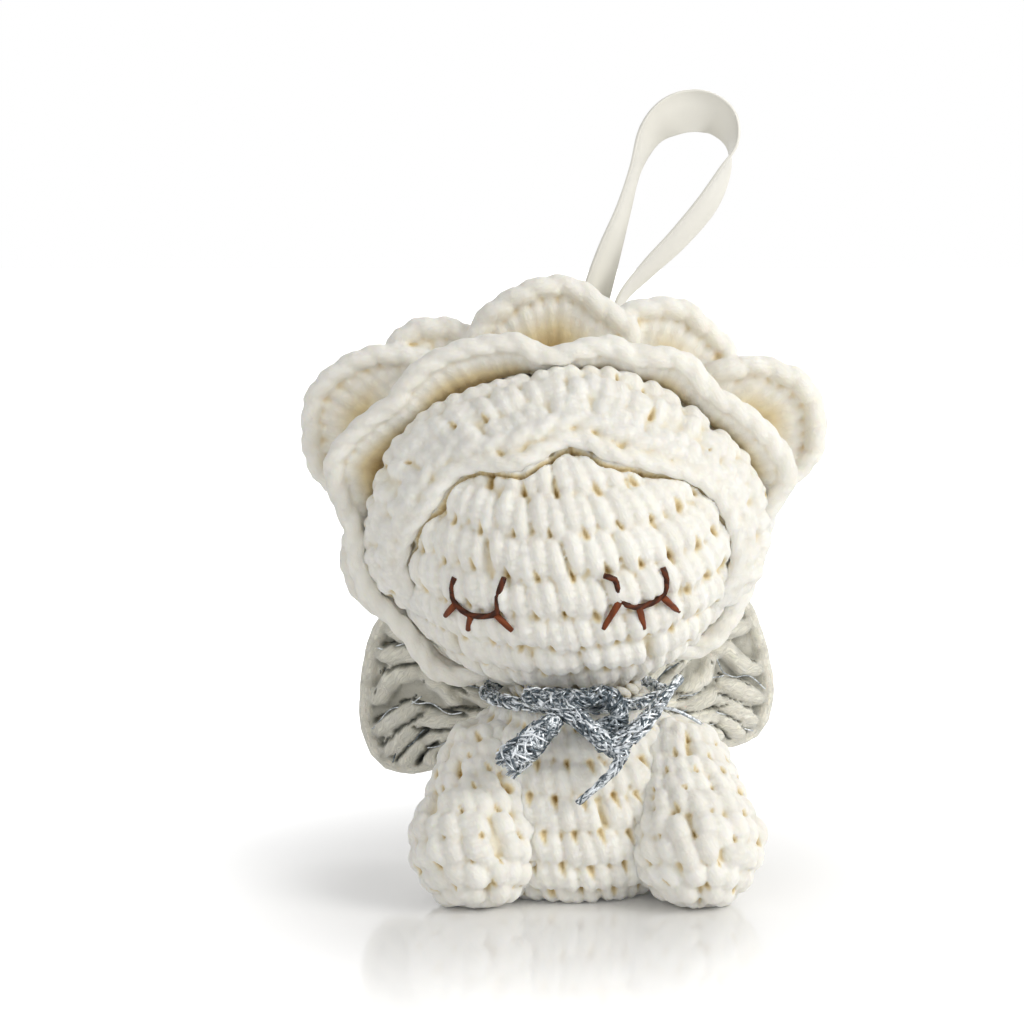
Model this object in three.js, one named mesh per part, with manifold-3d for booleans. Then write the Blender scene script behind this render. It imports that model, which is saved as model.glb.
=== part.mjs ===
// Crocheted hanging ornament: a sitting lion with a ruffled mane, wings, a silver tie and a ribbon loop.
// Millimetres, +Z up. The figure faces -Y and sits on the flat base of its body, whose centre is the origin.
import * as THREE from 'three';
import { mergeVertices } from 'three/addons/utils/BufferGeometryUtils.js';
import Module from 'manifold-3d';

const wasm = await Module();
wasm.setup();

// Driving dimensions: cloth and clearance
const CLEARANCE = 0.35;
const COVER_WALL = 2.6;

// Driving dimensions: body
const BODY_HEIGHT = 25.6;
const BODY_BASE_RADIUS = 10.5;
const BODY_HEEL_RADIUS = 14.0;
const BODY_HEEL_HEIGHT = 2.4;
const BODY_BELLY_RADIUS = 15.8;
const BODY_BELLY_HEIGHT = 8.5;
const BODY_SHOULDER_RADIUS = 13.2;
const BODY_SHOULDER_DROP = 5.6;
const BODY_NECK_RADIUS = 9.2;

// Driving dimensions: head, sewn on a little off the middle of the body
const HEAD_HALF_WIDTH = 23.5;
const HEAD_HALF_DEPTH = 20.5;
const HEAD_HALF_HEIGHT = 20.8;
const HEAD_SHIFT = -1.4;
const NECK_HOLE_RADIUS = 7.5;
const NECK_SEAM_THICKNESS = 1.2;

// Driving dimensions: rounds of crochet that show as ridges. Their pole tilts from the top towards the face.
const HEAD_ROUNDS = 12;
const HEAD_ROUND_TILT = 25;
const HEAD_GROOVE = 1.3;
const CAP_ROUNDS = 16;
const CAP_ROUND_TILT = -79.5;
const CAP_GROOVE = 0.9;
const RIDGE_EASE = 0.15;

// Driving dimensions: legs
const LEG_MIDDLE = 1.3;
const LEG_SPREAD = 14.9;
const LEG_FORWARD = 10.5;
const FOOT_RADIUS = 8.1;
const SOLE_FLAT = 0.5;
const HIP_SPREAD = 12.2;
const HIP_FORWARD = 3.5;
const HIP_DROP = 8.8;
const HIP_RADIUS = 6.3;

// Driving dimensions: mane
const CAP_WALL = 2.0;
const CAP_FRONT = 1.5;
const CAP_HEM_DROP = 8;
const MANE_TILT = 15;
const RUFFLE_THICKNESS = 2.6;
const FRINGE_ROOT = -2.4;
const FRINGE_CREST = -4.6;
const FRINGE_SIDE_BAND = 1.2;
const FRINGE_BROW_BAND = 3.6;
const FRINGE_LIFT = 1.4;
const MIDDLE_ROOT = 1.0;
const MIDDLE_CREST = -3.0;
const OUTER_ROOT = 10.4;
const OUTER_CREST = 7.2;
const OUTER_CURL = 2.2;
const PETAL_VALLEY = 2.6;
const PETAL_SPREAD = 18;
const FRINGE_ARC = [-36, 216];
const MIDDLE_ARC = [-50, 232];
const OUTER_ARC = [-26, 208];

// Heights of the folds above the face or the cap, as [angle in degrees round the face from its right, height]
const FRINGE_HEIGHTS = [
  [-36, 1.2], [-5, 1.9], [29, 2.5], [44, 1.9], [63, 2.6], [88, 1.2], [102, 2.6], [115, 3.2],
  [135, 1.7], [159, 2.8], [174, 1.6], [216, 1.2],
];
const MIDDLE_HEIGHTS = [
  [-50, 1.8], [0, 1.8], [14, 4.4], [36, 2.8], [54, 3.4], [74, 1.8], [92, 1.8], [116, 3.6],
  [138, 3.4], [160, 5.0], [184, 2.8], [206, 2.2], [232, 2.2],
];
const OUTER_PETALS = [
  [-14, 2.6], [4, 2.8], [25, 12.8], [62, 10.4], [91, 10.2], [120, 8.4], [153, 13.0], [181, 5.4], [199, 6.0],
];

// Driving dimensions: wings
const WING_SPAN = 22.6;
const WING_BULGE = 9.0;
const WING_FULLNESS = 1.1;
const WING_THICKNESS = 4.4;
const WING_EDGE_THICKNESS = 2.8;
const WING_ROOT_HALF = 2.5;
const WING_TIP_HALF = 1.4;
const WING_ROOT_DROP = 5.0;
const WING_ROOT_SPREAD = 5.5;
const WING_SWEEPS = { left: 13, right: 22 };
const WING_TILTS = { left: 10, right: 17 };
const WING_SEAM_RADIUS = 1.0;

// Driving dimensions: silver tie
const TIE_RADIUS = 1.35;
const KNOT_HALF_WIDTH = 4.4;
const KNOT_RADIUS = 2.9;
const KNOT_SHIFT = 3.0;
const TAIL_FAT_RADIUS = 2.0;
const TAIL_THIN_RADIUS = 0.85;

// The tie ends' routes from the knot's centre: across, back and up
const TAIL_LEFT_ROUTE = [[-2, -0.8, -1.2], [-5.4, -2.2, -2.4], [-8.6, -2.8, -3.9], [-11.6, -3.0, -5.2]];
const TAIL_MIDDLE_ROUTE = [[1.5, -0.5, -1.6], [2.6, -2.4, -4.2], [1.6, -3.2, -7.2], [-1.8, -3.4, -11.2]];
const TAIL_RIGHT_ROUTE = [[2.2, -0.4, -0.6], [5.2, 0.2, 0.6], [8.2, 1.6, 2.0], [10.8, 4.6, 4.0]];

// Driving dimensions: embroidered eyes
const EYE_THREAD_RADIUS = 0.45;
const EYE_HALF_WIDTH = 3.1;
const EYE_DROP = 4.2;
const EYE_SPREAD = 10.8;
const EYE_LEVEL = -4.0;
const EYE_SHIFT = -0.8;
const EYE_TILTS = { left: 4, right: 8 };
const LASH_LENGTH = 2.6;

// Driving dimensions: ribbon
const RIBBON_WIDTH = 6;
const RIBBON_THICKNESS = 0.5;
const RIBBON_BAR_RADIUS = 1.0;
const RIBBON_BAR_LENGTH = 7;
const RIBBON_SIDE = 5.2;
const RIBBON_BACK = 10.5;

// The ribbon's route from its bar: sideways, up, and the turn of its width out of the depth in degrees
const RIBBON_ROUTE = [
  [-1.2, 1.0, 0], [-1.0, 4.0, -20], [-0.8, 7.3, -38], [0.8, 12.9, -33], [2.8, 18.9, -20],
  [4.4, 24.3, -16], [6.4, 28.9, -36], [9.4, 31.3, -62], [12.7, 31.9, -68], [15.6, 30.6, -48],
  [17.1, 27.6, -12], [16.4, 24.3, 16], [14.0, 19.6, 31], [10.1, 14.9, 30], [6.1, 10.9, 24],
  [2.4, 6.5, 13], [1.2, 1.0, 0],
];

// Facet counts
const ROUND_SIDES = 24;
const LIMB_SIDES = 16;
const THREAD_SIDES = 6;
const PROFILE_ROWS = 10;
const RIDGE_ROWS = 3;
const RIBBON_STEPS = 44;
const RUFFLE_STEP = 4;
const WING_COLUMNS = 14;
const WING_SIDES = 12;
const KNOT_SIDES = 12;
const EYE_STEPS = 14;
const FOOT_ROWS = 6;
const HIP_ROWS = 3;
const CUTTER = 200;

const RAD = Math.PI / 180;
const MERGE_DISTANCE = 1e-4;

// Colours and finishes
const YARN = { color: 0xefe9db, roughness: 0.95, metalness: 0 };
const FILLING = { color: 0xf7f6f2, roughness: 1, metalness: 0 };
const WING_YARN = { color: 0xc9c6ba, roughness: 0.85, metalness: 0.1 };
const SILVER = { color: 0x9aa0a3, roughness: 0.35, metalness: 0.8 };
const EYE_THREAD = { color: 0x54260f, roughness: 0.6, metalness: 0 };
const SATIN = { color: 0xe9e7de, roughness: 0.4, metalness: 0 };

// Solids: a closed geometry becomes a manifold with its faces outwards, and back again
function solid(geometry) {
  const bare = geometry.clone();
  bare.deleteAttribute('normal');
  bare.deleteAttribute('uv');
  const merged = mergeVertices(bare, MERGE_DISTANCE);
  const corners = merged.attributes.position.array;
  const kept = [];
  let volume = 0;
  for (let i = 0; i < merged.index.count; i += 3) {
    const [a, b, c] = [0, 1, 2].map((k) => merged.index.getX(i + k));
    if (a === b || b === c || c === a) continue;
    kept.push(a, b, c);
    const [p, q, r] = [a, b, c].map((k) => new THREE.Vector3().fromArray(corners, 3 * k));
    volume += p.dot(q.cross(r));
  }
  if (volume < 0) kept.reverse();
  const mesh = new wasm.Mesh({
    numProp: 3,
    vertProperties: new Float32Array(corners),
    triVerts: new Uint32Array(kept),
  });
  return new wasm.Manifold(mesh);
}

function geometryOf(manifold) {
  const mesh = manifold.getMesh();
  const geometry = new THREE.BufferGeometry();
  geometry.setAttribute('position', new THREE.BufferAttribute(new Float32Array(mesh.vertProperties), 3));
  geometry.setIndex(new THREE.BufferAttribute(new Uint32Array(mesh.triVerts), 1));
  return geometry;
}

// A closed skin over rings of points.
// Each ring runs up one side and back down the other, so its ends close in strips.
function loft(rings) {
  const size = rings[0].length;
  const half = size / 2;
  const positions = rings.flat().flatMap((point) => point.toArray());
  const faces = [];
  const quad = (a, b, c, d) => faces.push(a, b, c, a, c, d);
  for (let i = 0; i + 1 < rings.length; i += 1) {
    for (let j = 0; j < size; j += 1) {
      const next = (j + 1) % size;
      quad(i * size + j, i * size + next, (i + 1) * size + next, (i + 1) * size + j);
    }
  }
  const last = (rings.length - 1) * size;
  for (let j = 0; j + 1 < half; j += 1) {
    quad(j, size - 1 - j, size - 2 - j, j + 1);
    quad(last + j, last + j + 1, last + size - 2 - j, last + size - 1 - j);
  }
  const geometry = new THREE.BufferGeometry();
  geometry.setAttribute('position', new THREE.Float32BufferAttribute(positions, 3));
  geometry.setIndex(faces);
  return geometry;
}

// A round strand along points, with a radius at each point
function strand(points, radii, steps, sides = THREAD_SIDES) {
  const curve = new THREE.CatmullRomCurve3(points);
  const frames = curve.computeFrenetFrames(steps);
  const rings = [];
  for (let i = 0; i <= steps; i += 1) {
    const along = (i / steps) * (radii.length - 1);
    const low = Math.min(Math.floor(along), radii.length - 2);
    const radius = THREE.MathUtils.lerp(radii[low], radii[low + 1], along - low);
    const centre = curve.getPointAt(i / steps);
    rings.push(Array.from({ length: sides }, (_, j) => {
      const turn = (j / sides) * 2 * Math.PI;
      return centre.clone()
        .addScaledVector(frames.normals[i], radius * Math.cos(turn))
        .addScaledVector(frames.binormals[i], radius * Math.sin(turn));
    }));
  }
  return solid(loft(rings));
}

// A turned shape about Z, its profile given as [radius, height] pairs
function turned(profile, sides = ROUND_SIDES) {
  const points = profile.map(([radius, height]) => new THREE.Vector2(radius, height));
  return new THREE.LatheGeometry(points, sides).rotateX(Math.PI / 2);
}

function box(low, high) {
  const size = new THREE.Vector3().subVectors(high, low);
  const centre = new THREE.Vector3().addVectors(low, high).multiplyScalar(0.5);
  return solid(new THREE.BoxGeometry(size.x, size.y, size.z).translate(centre.x, centre.y, centre.z));
}

// A smooth value between [angle, value] pairs
function valueAt(pairs, angle) {
  const next = pairs.findIndex(([at]) => at >= angle);
  if (next < 0) return pairs[pairs.length - 1][1];
  if (next === 0) return pairs[0][1];
  const [from, low] = pairs[next - 1];
  const [to, high] = pairs[next];
  return THREE.MathUtils.lerp(low, high, THREE.MathUtils.smoothstep(angle, from, to));
}

// Body: a pear-shaped cover, open at the neck, round its filling
const bodyOutline = new THREE.SplineCurve([
  new THREE.Vector2(BODY_BASE_RADIUS, 0),
  new THREE.Vector2(BODY_HEEL_RADIUS, BODY_HEEL_HEIGHT),
  new THREE.Vector2(BODY_BELLY_RADIUS, BODY_BELLY_HEIGHT),
  new THREE.Vector2(BODY_SHOULDER_RADIUS, BODY_HEIGHT - BODY_SHOULDER_DROP),
  new THREE.Vector2(BODY_NECK_RADIUS, BODY_HEIGHT),
]).getPoints(PROFILE_ROWS).map((point) => [point.x, point.y]);

function bodyRadius(height) {
  const next = bodyOutline.findIndex(([, z]) => z >= height);
  if (next < 0) return BODY_NECK_RADIUS;
  if (next === 0) return BODY_BASE_RADIUS;
  const [lowRadius, low] = bodyOutline[next - 1];
  const [highRadius, high] = bodyOutline[next];
  return THREE.MathUtils.mapLinear(height, low, high, lowRadius, highRadius);
}

function bodyInset(depth) {
  const above = bodyOutline.filter(([, height]) => height > depth);
  const inner = above.map(([radius, height]) => [radius - depth, height]);
  return [[0, depth], [bodyRadius(depth) - depth, depth], ...inner];
}

function bodyEnvelope(grow) {
  const sides = bodyOutline.map(([radius, height]) => [radius + grow, height]);
  const bottom = [[0, -grow], [BODY_BASE_RADIUS + grow, -grow]];
  const top = [[BODY_NECK_RADIUS + grow, BODY_HEIGHT + grow], [0, BODY_HEIGHT + grow]];
  return solid(turned([...bottom, ...sides, ...top]));
}

function bodyCover() {
  const inside = bodyInset(COVER_WALL).reverse();
  return solid(turned([[0, 0], ...bodyOutline, ...inside]));
}

function bodyFilling() {
  const depth = COVER_WALL + CLEARANCE;
  const inside = bodyInset(depth);
  const top = BODY_HEIGHT - CLEARANCE;
  inside.pop();
  return solid(turned([...inside, [bodyRadius(top) - depth, top], [0, top]]));
}

// Head: a swollen cover, open at the neck, that rests on the neck seam
const neckSlope = Math.sqrt(1 - (NECK_HOLE_RADIUS / HEAD_HALF_WIDTH) ** 2);
const seamCentre = BODY_HEIGHT + CLEARANCE + NECK_SEAM_THICKNESS / 2;
const headHeight = seamCentre + NECK_SEAM_THICKNESS / 2 + CLEARANCE + HEAD_HALF_HEIGHT * neckSlope;
const headCentre = new THREE.Vector3(HEAD_SHIFT, 0, headHeight);

function ellipsoid(grow, sides = ROUND_SIDES) {
  const geometry = new THREE.SphereGeometry(1, sides, PROFILE_ROWS).rotateX(Math.PI / 2);
  geometry.scale(HEAD_HALF_WIDTH + grow, HEAD_HALF_DEPTH + grow, HEAD_HALF_HEIGHT + grow);
  return solid(geometry.translate(headCentre.x, headCentre.y, headCentre.z));
}

// The same ball with its rounds as ridges. They fade out round the neck, where the head rests on its seam.
function ridgedBall(grow, rounds, tilt, groove) {
  const rows = RIDGE_ROWS * rounds;
  const geometry = new THREE.SphereGeometry(1, ROUND_SIDES, rows).rotateX(Math.PI / 2 + tilt * RAD);
  const points = geometry.attributes.position;
  const point = new THREE.Vector3();
  for (let i = 0; i < points.count; i += 1) {
    point.fromBufferAttribute(points, i);
    const row = Math.floor(i / (ROUND_SIDES + 1));
    const valley = 1 - Math.abs(Math.sin((Math.PI * row) / RIDGE_ROWS));
    const aside = HEAD_HALF_WIDTH * Math.hypot(point.x, point.y);
    const shown = point.z > 0 ? 1 : THREE.MathUtils.smoothstep(aside, NECK_HOLE_RADIUS, 2 * NECK_HOLE_RADIUS);
    point.multiplyScalar(1 - (RIDGE_EASE + groove * valley * shown) / HEAD_HALF_HEIGHT);
    points.setXYZ(i, point.x, point.y, point.z);
  }
  geometry.scale(HEAD_HALF_WIDTH + grow, HEAD_HALF_DEPTH + grow, HEAD_HALF_HEIGHT + grow);
  return solid(geometry.translate(headCentre.x, headCentre.y, headCentre.z));
}

// The distance from the head's face axis to its skin, grown outwards, at an angle round it and a depth
function headReach(angle, depth, grow) {
  const across = Math.cos(angle * RAD) / (HEAD_HALF_WIDTH + grow);
  const up = Math.sin(angle * RAD) / (HEAD_HALF_HEIGHT + grow);
  const slice = Math.max(0, 1 - (depth / (HEAD_HALF_DEPTH + grow)) ** 2);
  return Math.sqrt(slice) / Math.hypot(across, up);
}

function headCover() {
  const neckTop = headCentre.z;
  const neck = new THREE.CylinderGeometry(NECK_HOLE_RADIUS, NECK_HOLE_RADIUS, neckTop, ROUND_SIDES)
    .rotateX(Math.PI / 2)
    .translate(headCentre.x, headCentre.y, neckTop / 2);
  const outside = ridgedBall(0, HEAD_ROUNDS, HEAD_ROUND_TILT, HEAD_GROOVE);
  return outside.subtract(ellipsoid(-COVER_WALL)).subtract(solid(neck));
}

function neckSeam() {
  const ringRadius = NECK_HOLE_RADIUS + NECK_SEAM_THICKNESS / 2;
  const ring = new THREE.TorusGeometry(ringRadius, NECK_SEAM_THICKNESS / 2, THREAD_SIDES, ROUND_SIDES);
  return solid(ring.translate(0, 0, seamCentre));
}

// Legs: teardrops from hip to foot, cut flat under the sole and hollowed where the body sits
function teardrop(hip, foot, hipRadius, footRadius) {
  const length = hip.distanceTo(foot);
  const lean = Math.asin((footRadius - hipRadius) / length);
  const arc = (radius, height, from, to, steps) => Array.from({ length: steps + 1 }, (_, i) => {
    const turn = THREE.MathUtils.lerp(from, to, i / steps);
    return [Math.max(0, radius * Math.cos(turn)), height + radius * Math.sin(turn)];
  });
  const footArc = arc(footRadius, 0, -Math.PI / 2, lean, FOOT_ROWS);
  const hipArc = arc(hipRadius, length, lean, Math.PI / 2, HIP_ROWS);
  const axis = new THREE.Vector3().subVectors(hip, foot).normalize();
  const turn = new THREE.Quaternion().setFromUnitVectors(new THREE.Vector3(0, 0, 1), axis);
  const geometry = turned([...footArc, ...hipArc], LIMB_SIDES).applyQuaternion(turn);
  return solid(geometry.translate(foot.x, foot.y, foot.z));
}

const underFloor = box(new THREE.Vector3(-CUTTER, -CUTTER, -CUTTER), new THREE.Vector3(CUTTER, CUTTER, 0));
const bodyRoom = bodyEnvelope(CLEARANCE);

function leg(side) {
  const hip = new THREE.Vector3(LEG_MIDDLE + side * HIP_SPREAD, -HIP_FORWARD, BODY_HEIGHT - HIP_DROP);
  const foot = new THREE.Vector3(LEG_MIDDLE + side * LEG_SPREAD, -LEG_FORWARD, FOOT_RADIUS - SOLE_FLAT);
  const drop = (depth) => teardrop(hip, foot, HIP_RADIUS - depth, FOOT_RADIUS - depth);
  const cover = drop(0).subtract(drop(COVER_WALL)).subtract(underFloor).subtract(bodyRoom);
  const filling = drop(COVER_WALL + CLEARANCE).subtract(bodyRoom);
  return { cover, filling };
}

// Mane: a cap over the back of the head, and three ruffles round the face that are sewn to it
const CAP_GROWTH = CLEARANCE + CAP_WALL;
const tiltSlope = Math.tan(MANE_TILT * RAD);
const headRoom = ellipsoid(CLEARANCE);

function capShape(ball, grow) {
  const front = CAP_FRONT - grow;
  const face = new THREE.Shape([
    new THREE.Vector2(-CUTTER, -CUTTER),
    new THREE.Vector2(front, -CUTTER),
    new THREE.Vector2(front, 0),
    new THREE.Vector2(front - tiltSlope * CUTTER, CUTTER),
    new THREE.Vector2(-CUTTER, CUTTER),
  ]);
  const opening = new THREE.ExtrudeGeometry(face, { depth: 2 * CUTTER, bevelEnabled: false })
    .translate(0, 0, -CUTTER)
    .rotateY(Math.PI / 2)
    .rotateX(Math.PI / 2)
    .translate(0, headCentre.y, headCentre.z);
  const hem = headCentre.z - CAP_HEM_DROP - grow;
  const below = box(new THREE.Vector3(-CUTTER, -CUTTER, -CUTTER), new THREE.Vector3(CUTTER, CUTTER, hem));
  return ball.subtract(solid(opening)).subtract(below);
}

function maneCap() {
  const outside = ridgedBall(CAP_GROWTH, CAP_ROUNDS, CAP_ROUND_TILT, CAP_GROOVE);
  return capShape(outside, 0).subtract(headRoom);
}

const maneSeat = headRoom.add(capShape(ellipsoid(CAP_GROWTH + CLEARANCE), CLEARANCE));

// The growth from the head to what carries a ruffle's root: the cap, and the head itself below the cap's hem
function seatGrowth(angle) {
  const drop = -HEAD_HALF_HEIGHT * Math.sin(angle * RAD);
  return CLEARANCE + CAP_WALL * (1 - THREE.MathUtils.smoothstep(drop, CAP_HEM_DROP - CAP_WALL, CAP_HEM_DROP));
}

// A ruffle swept round the face axis.
// section(angle) gives its middle line as [depth, reach] from root to edge.
function ruffle([from, to], thickness, section) {
  const rings = [];
  const steps = Math.round((to - from) / RUFFLE_STEP);
  for (let i = 0; i <= steps; i += 1) {
    const angle = THREE.MathUtils.lerp(from, to, i / steps);
    const line = section(angle).map(([depth, reach]) => new THREE.Vector2(depth, reach));
    const sides = line.map((point, j) => {
      const before = line[Math.max(0, j - 1)];
      const after = line[Math.min(line.length - 1, j + 1)];
      const along = new THREE.Vector2().subVectors(after, before).normalize();
      return new THREE.Vector2(-along.y, along.x).multiplyScalar(thickness / 2);
    });
    const front = line.map((point, j) => point.clone().add(sides[j]));
    const back = line.map((point, j) => point.clone().sub(sides[j])).reverse();
    rings.push([...front, ...back].map((point) => new THREE.Vector3(
      headCentre.x + point.y * Math.cos(angle * RAD),
      headCentre.y + point.x,
      headCentre.z + point.y * Math.sin(angle * RAD),
    )));
  }
  return solid(loft(rings));
}

// The upper half of the mane leans forward over the brow
function lean(angle) {
  return -tiltSlope * HEAD_HALF_HEIGHT * Math.max(0, Math.sin(angle * RAD));
}

function maneFringe() {
  const strip = ruffle(FRINGE_ARC, RUFFLE_THICKNESS, (angle) => {
    const forward = lean(angle);
    const rise = valueAt(FRINGE_HEIGHTS, angle);
    const at = (depth, height) => [forward + depth, headReach(angle, forward + depth, height)];
    const brow = THREE.MathUtils.clamp(Math.SQRT2 * Math.sin(angle * RAD), 0, 1);
    const hem = FRINGE_CREST - FRINGE_SIDE_BAND - FRINGE_BROW_BAND * brow;
    return [at(FRINGE_ROOT, FRINGE_LIFT), at(FRINGE_CREST, rise), at(hem, FRINGE_LIFT)];
  });
  return strip.subtract(maneSeat).subtract(middleRoom);
}

function middleStrip(thickness) {
  return ruffle(MIDDLE_ARC, thickness, (angle) => {
    const forward = lean(angle);
    const rise = valueAt(MIDDLE_HEIGHTS, angle);
    const root = headReach(angle, forward + MIDDLE_ROOT, 0);
    const base = headReach(angle, forward + MIDDLE_ROOT, seatGrowth(angle));
    return [
      [forward + MIDDLE_ROOT, root],
      [forward + THREE.MathUtils.lerp(MIDDLE_ROOT, MIDDLE_CREST, 0.25), base + rise / 2],
      [forward + MIDDLE_CREST, base + rise],
    ];
  });
}

const middleRoom = middleStrip(RUFFLE_THICKNESS + 2 * CLEARANCE);

function petalHeight(angle) {
  const rises = OUTER_PETALS.map(([at, height]) => {
    const reach = (angle - at) / PETAL_SPREAD;
    return height * Math.sqrt(Math.max(0, 1 - reach * reach));
  });
  return Math.max(PETAL_VALLEY, ...rises);
}

function maneOuter() {
  const strip = ruffle(OUTER_ARC, RUFFLE_THICKNESS, (angle) => {
    const forward = lean(angle);
    const rise = petalHeight(angle);
    const root = headReach(angle, forward + OUTER_ROOT, 0);
    const base = headReach(angle, forward + OUTER_ROOT, seatGrowth(angle));
    return [
      [forward + OUTER_ROOT, root],
      [forward + OUTER_ROOT - OUTER_CURL / 2, base + rise / 2],
      [forward + OUTER_CREST - OUTER_CURL * (rise / PETAL_SPREAD), base + rise],
    ];
  });
  return strip.subtract(maneSeat).subtract(middleRoom);
}

// Wings: fans with a thick rim, hung on a seam up the back
const wingRootHeight = BODY_HEIGHT - WING_ROOT_DROP;

function wingSeat(side) {
  const across = side * WING_ROOT_SPREAD;
  const out = bodyRadius(wingRootHeight - WING_ROOT_HALF) + CLEARANCE + WING_SEAM_RADIUS;
  return new THREE.Vector3(across, Math.sqrt(out * out - across * across), wingRootHeight);
}

function wingSeam(side) {
  const seat = wingSeat(side);
  const bar = new THREE.CapsuleGeometry(
    WING_SEAM_RADIUS, 2 * (WING_ROOT_HALF - WING_SEAM_RADIUS), 3, THREAD_SIDES + 2,
  );
  return solid(bar.rotateX(Math.PI / 2).translate(seat.x, seat.y, seat.z));
}

function wing(side, tilt, sweep) {
  const start = WING_SEAM_RADIUS + CLEARANCE;
  const rings = [];
  for (let i = 0; i <= WING_COLUMNS; i += 1) {
    const share = i / WING_COLUMNS;
    const out = start + WING_SPAN * Math.sin((share * Math.PI) / 2);
    const swell = Math.sin(Math.PI * share ** WING_FULLNESS);
    const halfHeight = THREE.MathUtils.lerp(WING_ROOT_HALF, WING_TIP_HALF, share) + WING_BULGE * swell;
    const halfThickness = THREE.MathUtils.lerp(WING_EDGE_THICKNESS, WING_THICKNESS, swell) / 2;
    rings.push(Array.from({ length: WING_SIDES }, (_, j) => {
      const turn = (j / WING_SIDES) * 2 * Math.PI;
      return new THREE.Vector3(side * out, halfThickness * Math.sin(turn), halfHeight * Math.cos(turn));
    }));
  }
  const seat = wingSeat(side);
  const geometry = loft(rings)
    .rotateY(-side * tilt * RAD)
    .rotateZ(side * sweep * RAD)
    .translate(seat.x, seat.y, seat.z);
  const bar = new THREE.CylinderGeometry(start, start, 4 * WING_ROOT_HALF, ROUND_SIDES)
    .rotateX(Math.PI / 2)
    .translate(seat.x, seat.y, seat.z);
  return solid(geometry).subtract(solid(bar));
}

// Silver tie: a band round the neck, its knot in front, and the ends that hang from the knot
const tieLevel = BODY_HEIGHT - TIE_RADIUS / 2 + CLEARANCE;
const tieRing = bodyRadius(tieLevel - TIE_RADIUS) + CLEARANCE + TIE_RADIUS;
const knotCentre = new THREE.Vector3(KNOT_SHIFT, -tieRing - KNOT_RADIUS / 2, tieLevel - KNOT_RADIUS / 2);

function knotShape(grow) {
  const knot = new THREE.SphereGeometry(1, KNOT_SIDES, KNOT_SIDES / 2).rotateZ(Math.PI / 2);
  knot.scale(KNOT_HALF_WIDTH + grow, KNOT_RADIUS + grow, KNOT_RADIUS + grow);
  return solid(knot.translate(knotCentre.x, knotCentre.y, knotCentre.z));
}

const knotRoom = knotShape(CLEARANCE);

function tieBand() {
  const ring = new THREE.TorusGeometry(tieRing, TIE_RADIUS, THREAD_SIDES + 2, ROUND_SIDES);
  return solid(ring.translate(0, 0, tieLevel)).subtract(knotRoom);
}

function tieKnot() {
  return knotShape(0).subtract(bodyRoom).subtract(headRoom);
}

// A tie end that leaves the knot on its route
function tieEnd(route, radii) {
  const points = route.map(([across, back, up]) => new THREE.Vector3(across, back, up).add(knotCentre));
  return strand(points, radii, 4 * (route.length - 1)).subtract(knotRoom).subtract(bodyRoom);
}

function tieEndLeft() {
  const fat = TAIL_FAT_RADIUS;
  return tieEnd(TAIL_LEFT_ROUTE, [fat * 0.7, fat, fat, fat * 0.8]);
}

function tieEndMiddle() {
  const thin = TAIL_THIN_RADIUS;
  return tieEnd(TAIL_MIDDLE_ROUTE, [thin * 1.6, thin * 1.4, thin, thin * 0.8]);
}

function tieEndRight() {
  return tieEnd(TAIL_RIGHT_ROUTE, [TIE_RADIUS, TIE_RADIUS, TIE_RADIUS, TIE_RADIUS * 0.8]);
}

// Eyes: a closed lid sewn as one curved thread with three lashes, laid on the face
function onFace(across, up) {
  const grow = CLEARANCE + EYE_THREAD_RADIUS;
  const flat = (across / (HEAD_HALF_WIDTH + grow)) ** 2 + (up / (HEAD_HALF_HEIGHT + grow)) ** 2;
  const depth = -(HEAD_HALF_DEPTH + grow) * Math.sqrt(1 - flat);
  return new THREE.Vector3(across, depth, up).add(headCentre);
}

function faceThread(points, steps) {
  const path = new THREE.CatmullRomCurve3(points.map(([across, up]) => onFace(across, up)));
  const round = new THREE.Shape().absarc(0, 0, EYE_THREAD_RADIUS, 0, 2 * Math.PI);
  const options = { steps, curveSegments: THREAD_SIDES / 2, extrudePath: path };
  return solid(new THREE.ExtrudeGeometry(round, options));
}

function eye(side, tilt) {
  const middle = [EYE_SHIFT + side * EYE_SPREAD, EYE_LEVEL];
  const turn = side * tilt * RAD;
  const place = ([across, up]) => [
    middle[0] + across * Math.cos(turn) - up * Math.sin(turn),
    middle[1] + across * Math.sin(turn) + up * Math.cos(turn),
  ];
  const lid = [-1, -0.96, -0.66, 0, 0.66, 0.96, 1].map((share) => {
    const drop = EYE_DROP * Math.sqrt(1 - share * share);
    return place([share * EYE_HALF_WIDTH, -drop]);
  });
  const lashes = [[-0.8, -40], [0, 0], [0.8, 40]].map(([share, splay]) => {
    const root = [share * EYE_HALF_WIDTH, -EYE_DROP * Math.sqrt(1 - share * share)];
    const reach = [LASH_LENGTH * Math.sin(splay * RAD), -LASH_LENGTH * Math.cos(splay * RAD)];
    const steps = [0, 0.5, 1].map((part) => place([root[0] + part * reach[0], root[1] + part * reach[1]]));
    return faceThread(steps, 2);
  });
  return lashes.reduce((sewn, lash) => sewn.add(lash), faceThread(lid, EYE_STEPS));
}

// Ribbon: a flat loop round a stitched bar on the crown, twisting on its way
function ribbonBarCentre() {
  const grow = CAP_GROWTH + CLEARANCE + RIBBON_BAR_RADIUS;
  const frontEdge = RIBBON_BACK - RIBBON_BAR_LENGTH / 2;
  const flat = (RIBBON_SIDE / (HEAD_HALF_WIDTH + grow)) ** 2 + (frontEdge / (HEAD_HALF_DEPTH + grow)) ** 2;
  const height = (HEAD_HALF_HEIGHT + grow) * Math.sqrt(1 - flat);
  return new THREE.Vector3(RIBBON_SIDE, RIBBON_BACK, height).add(headCentre);
}

const ribbonBar = ribbonBarCentre();

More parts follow.
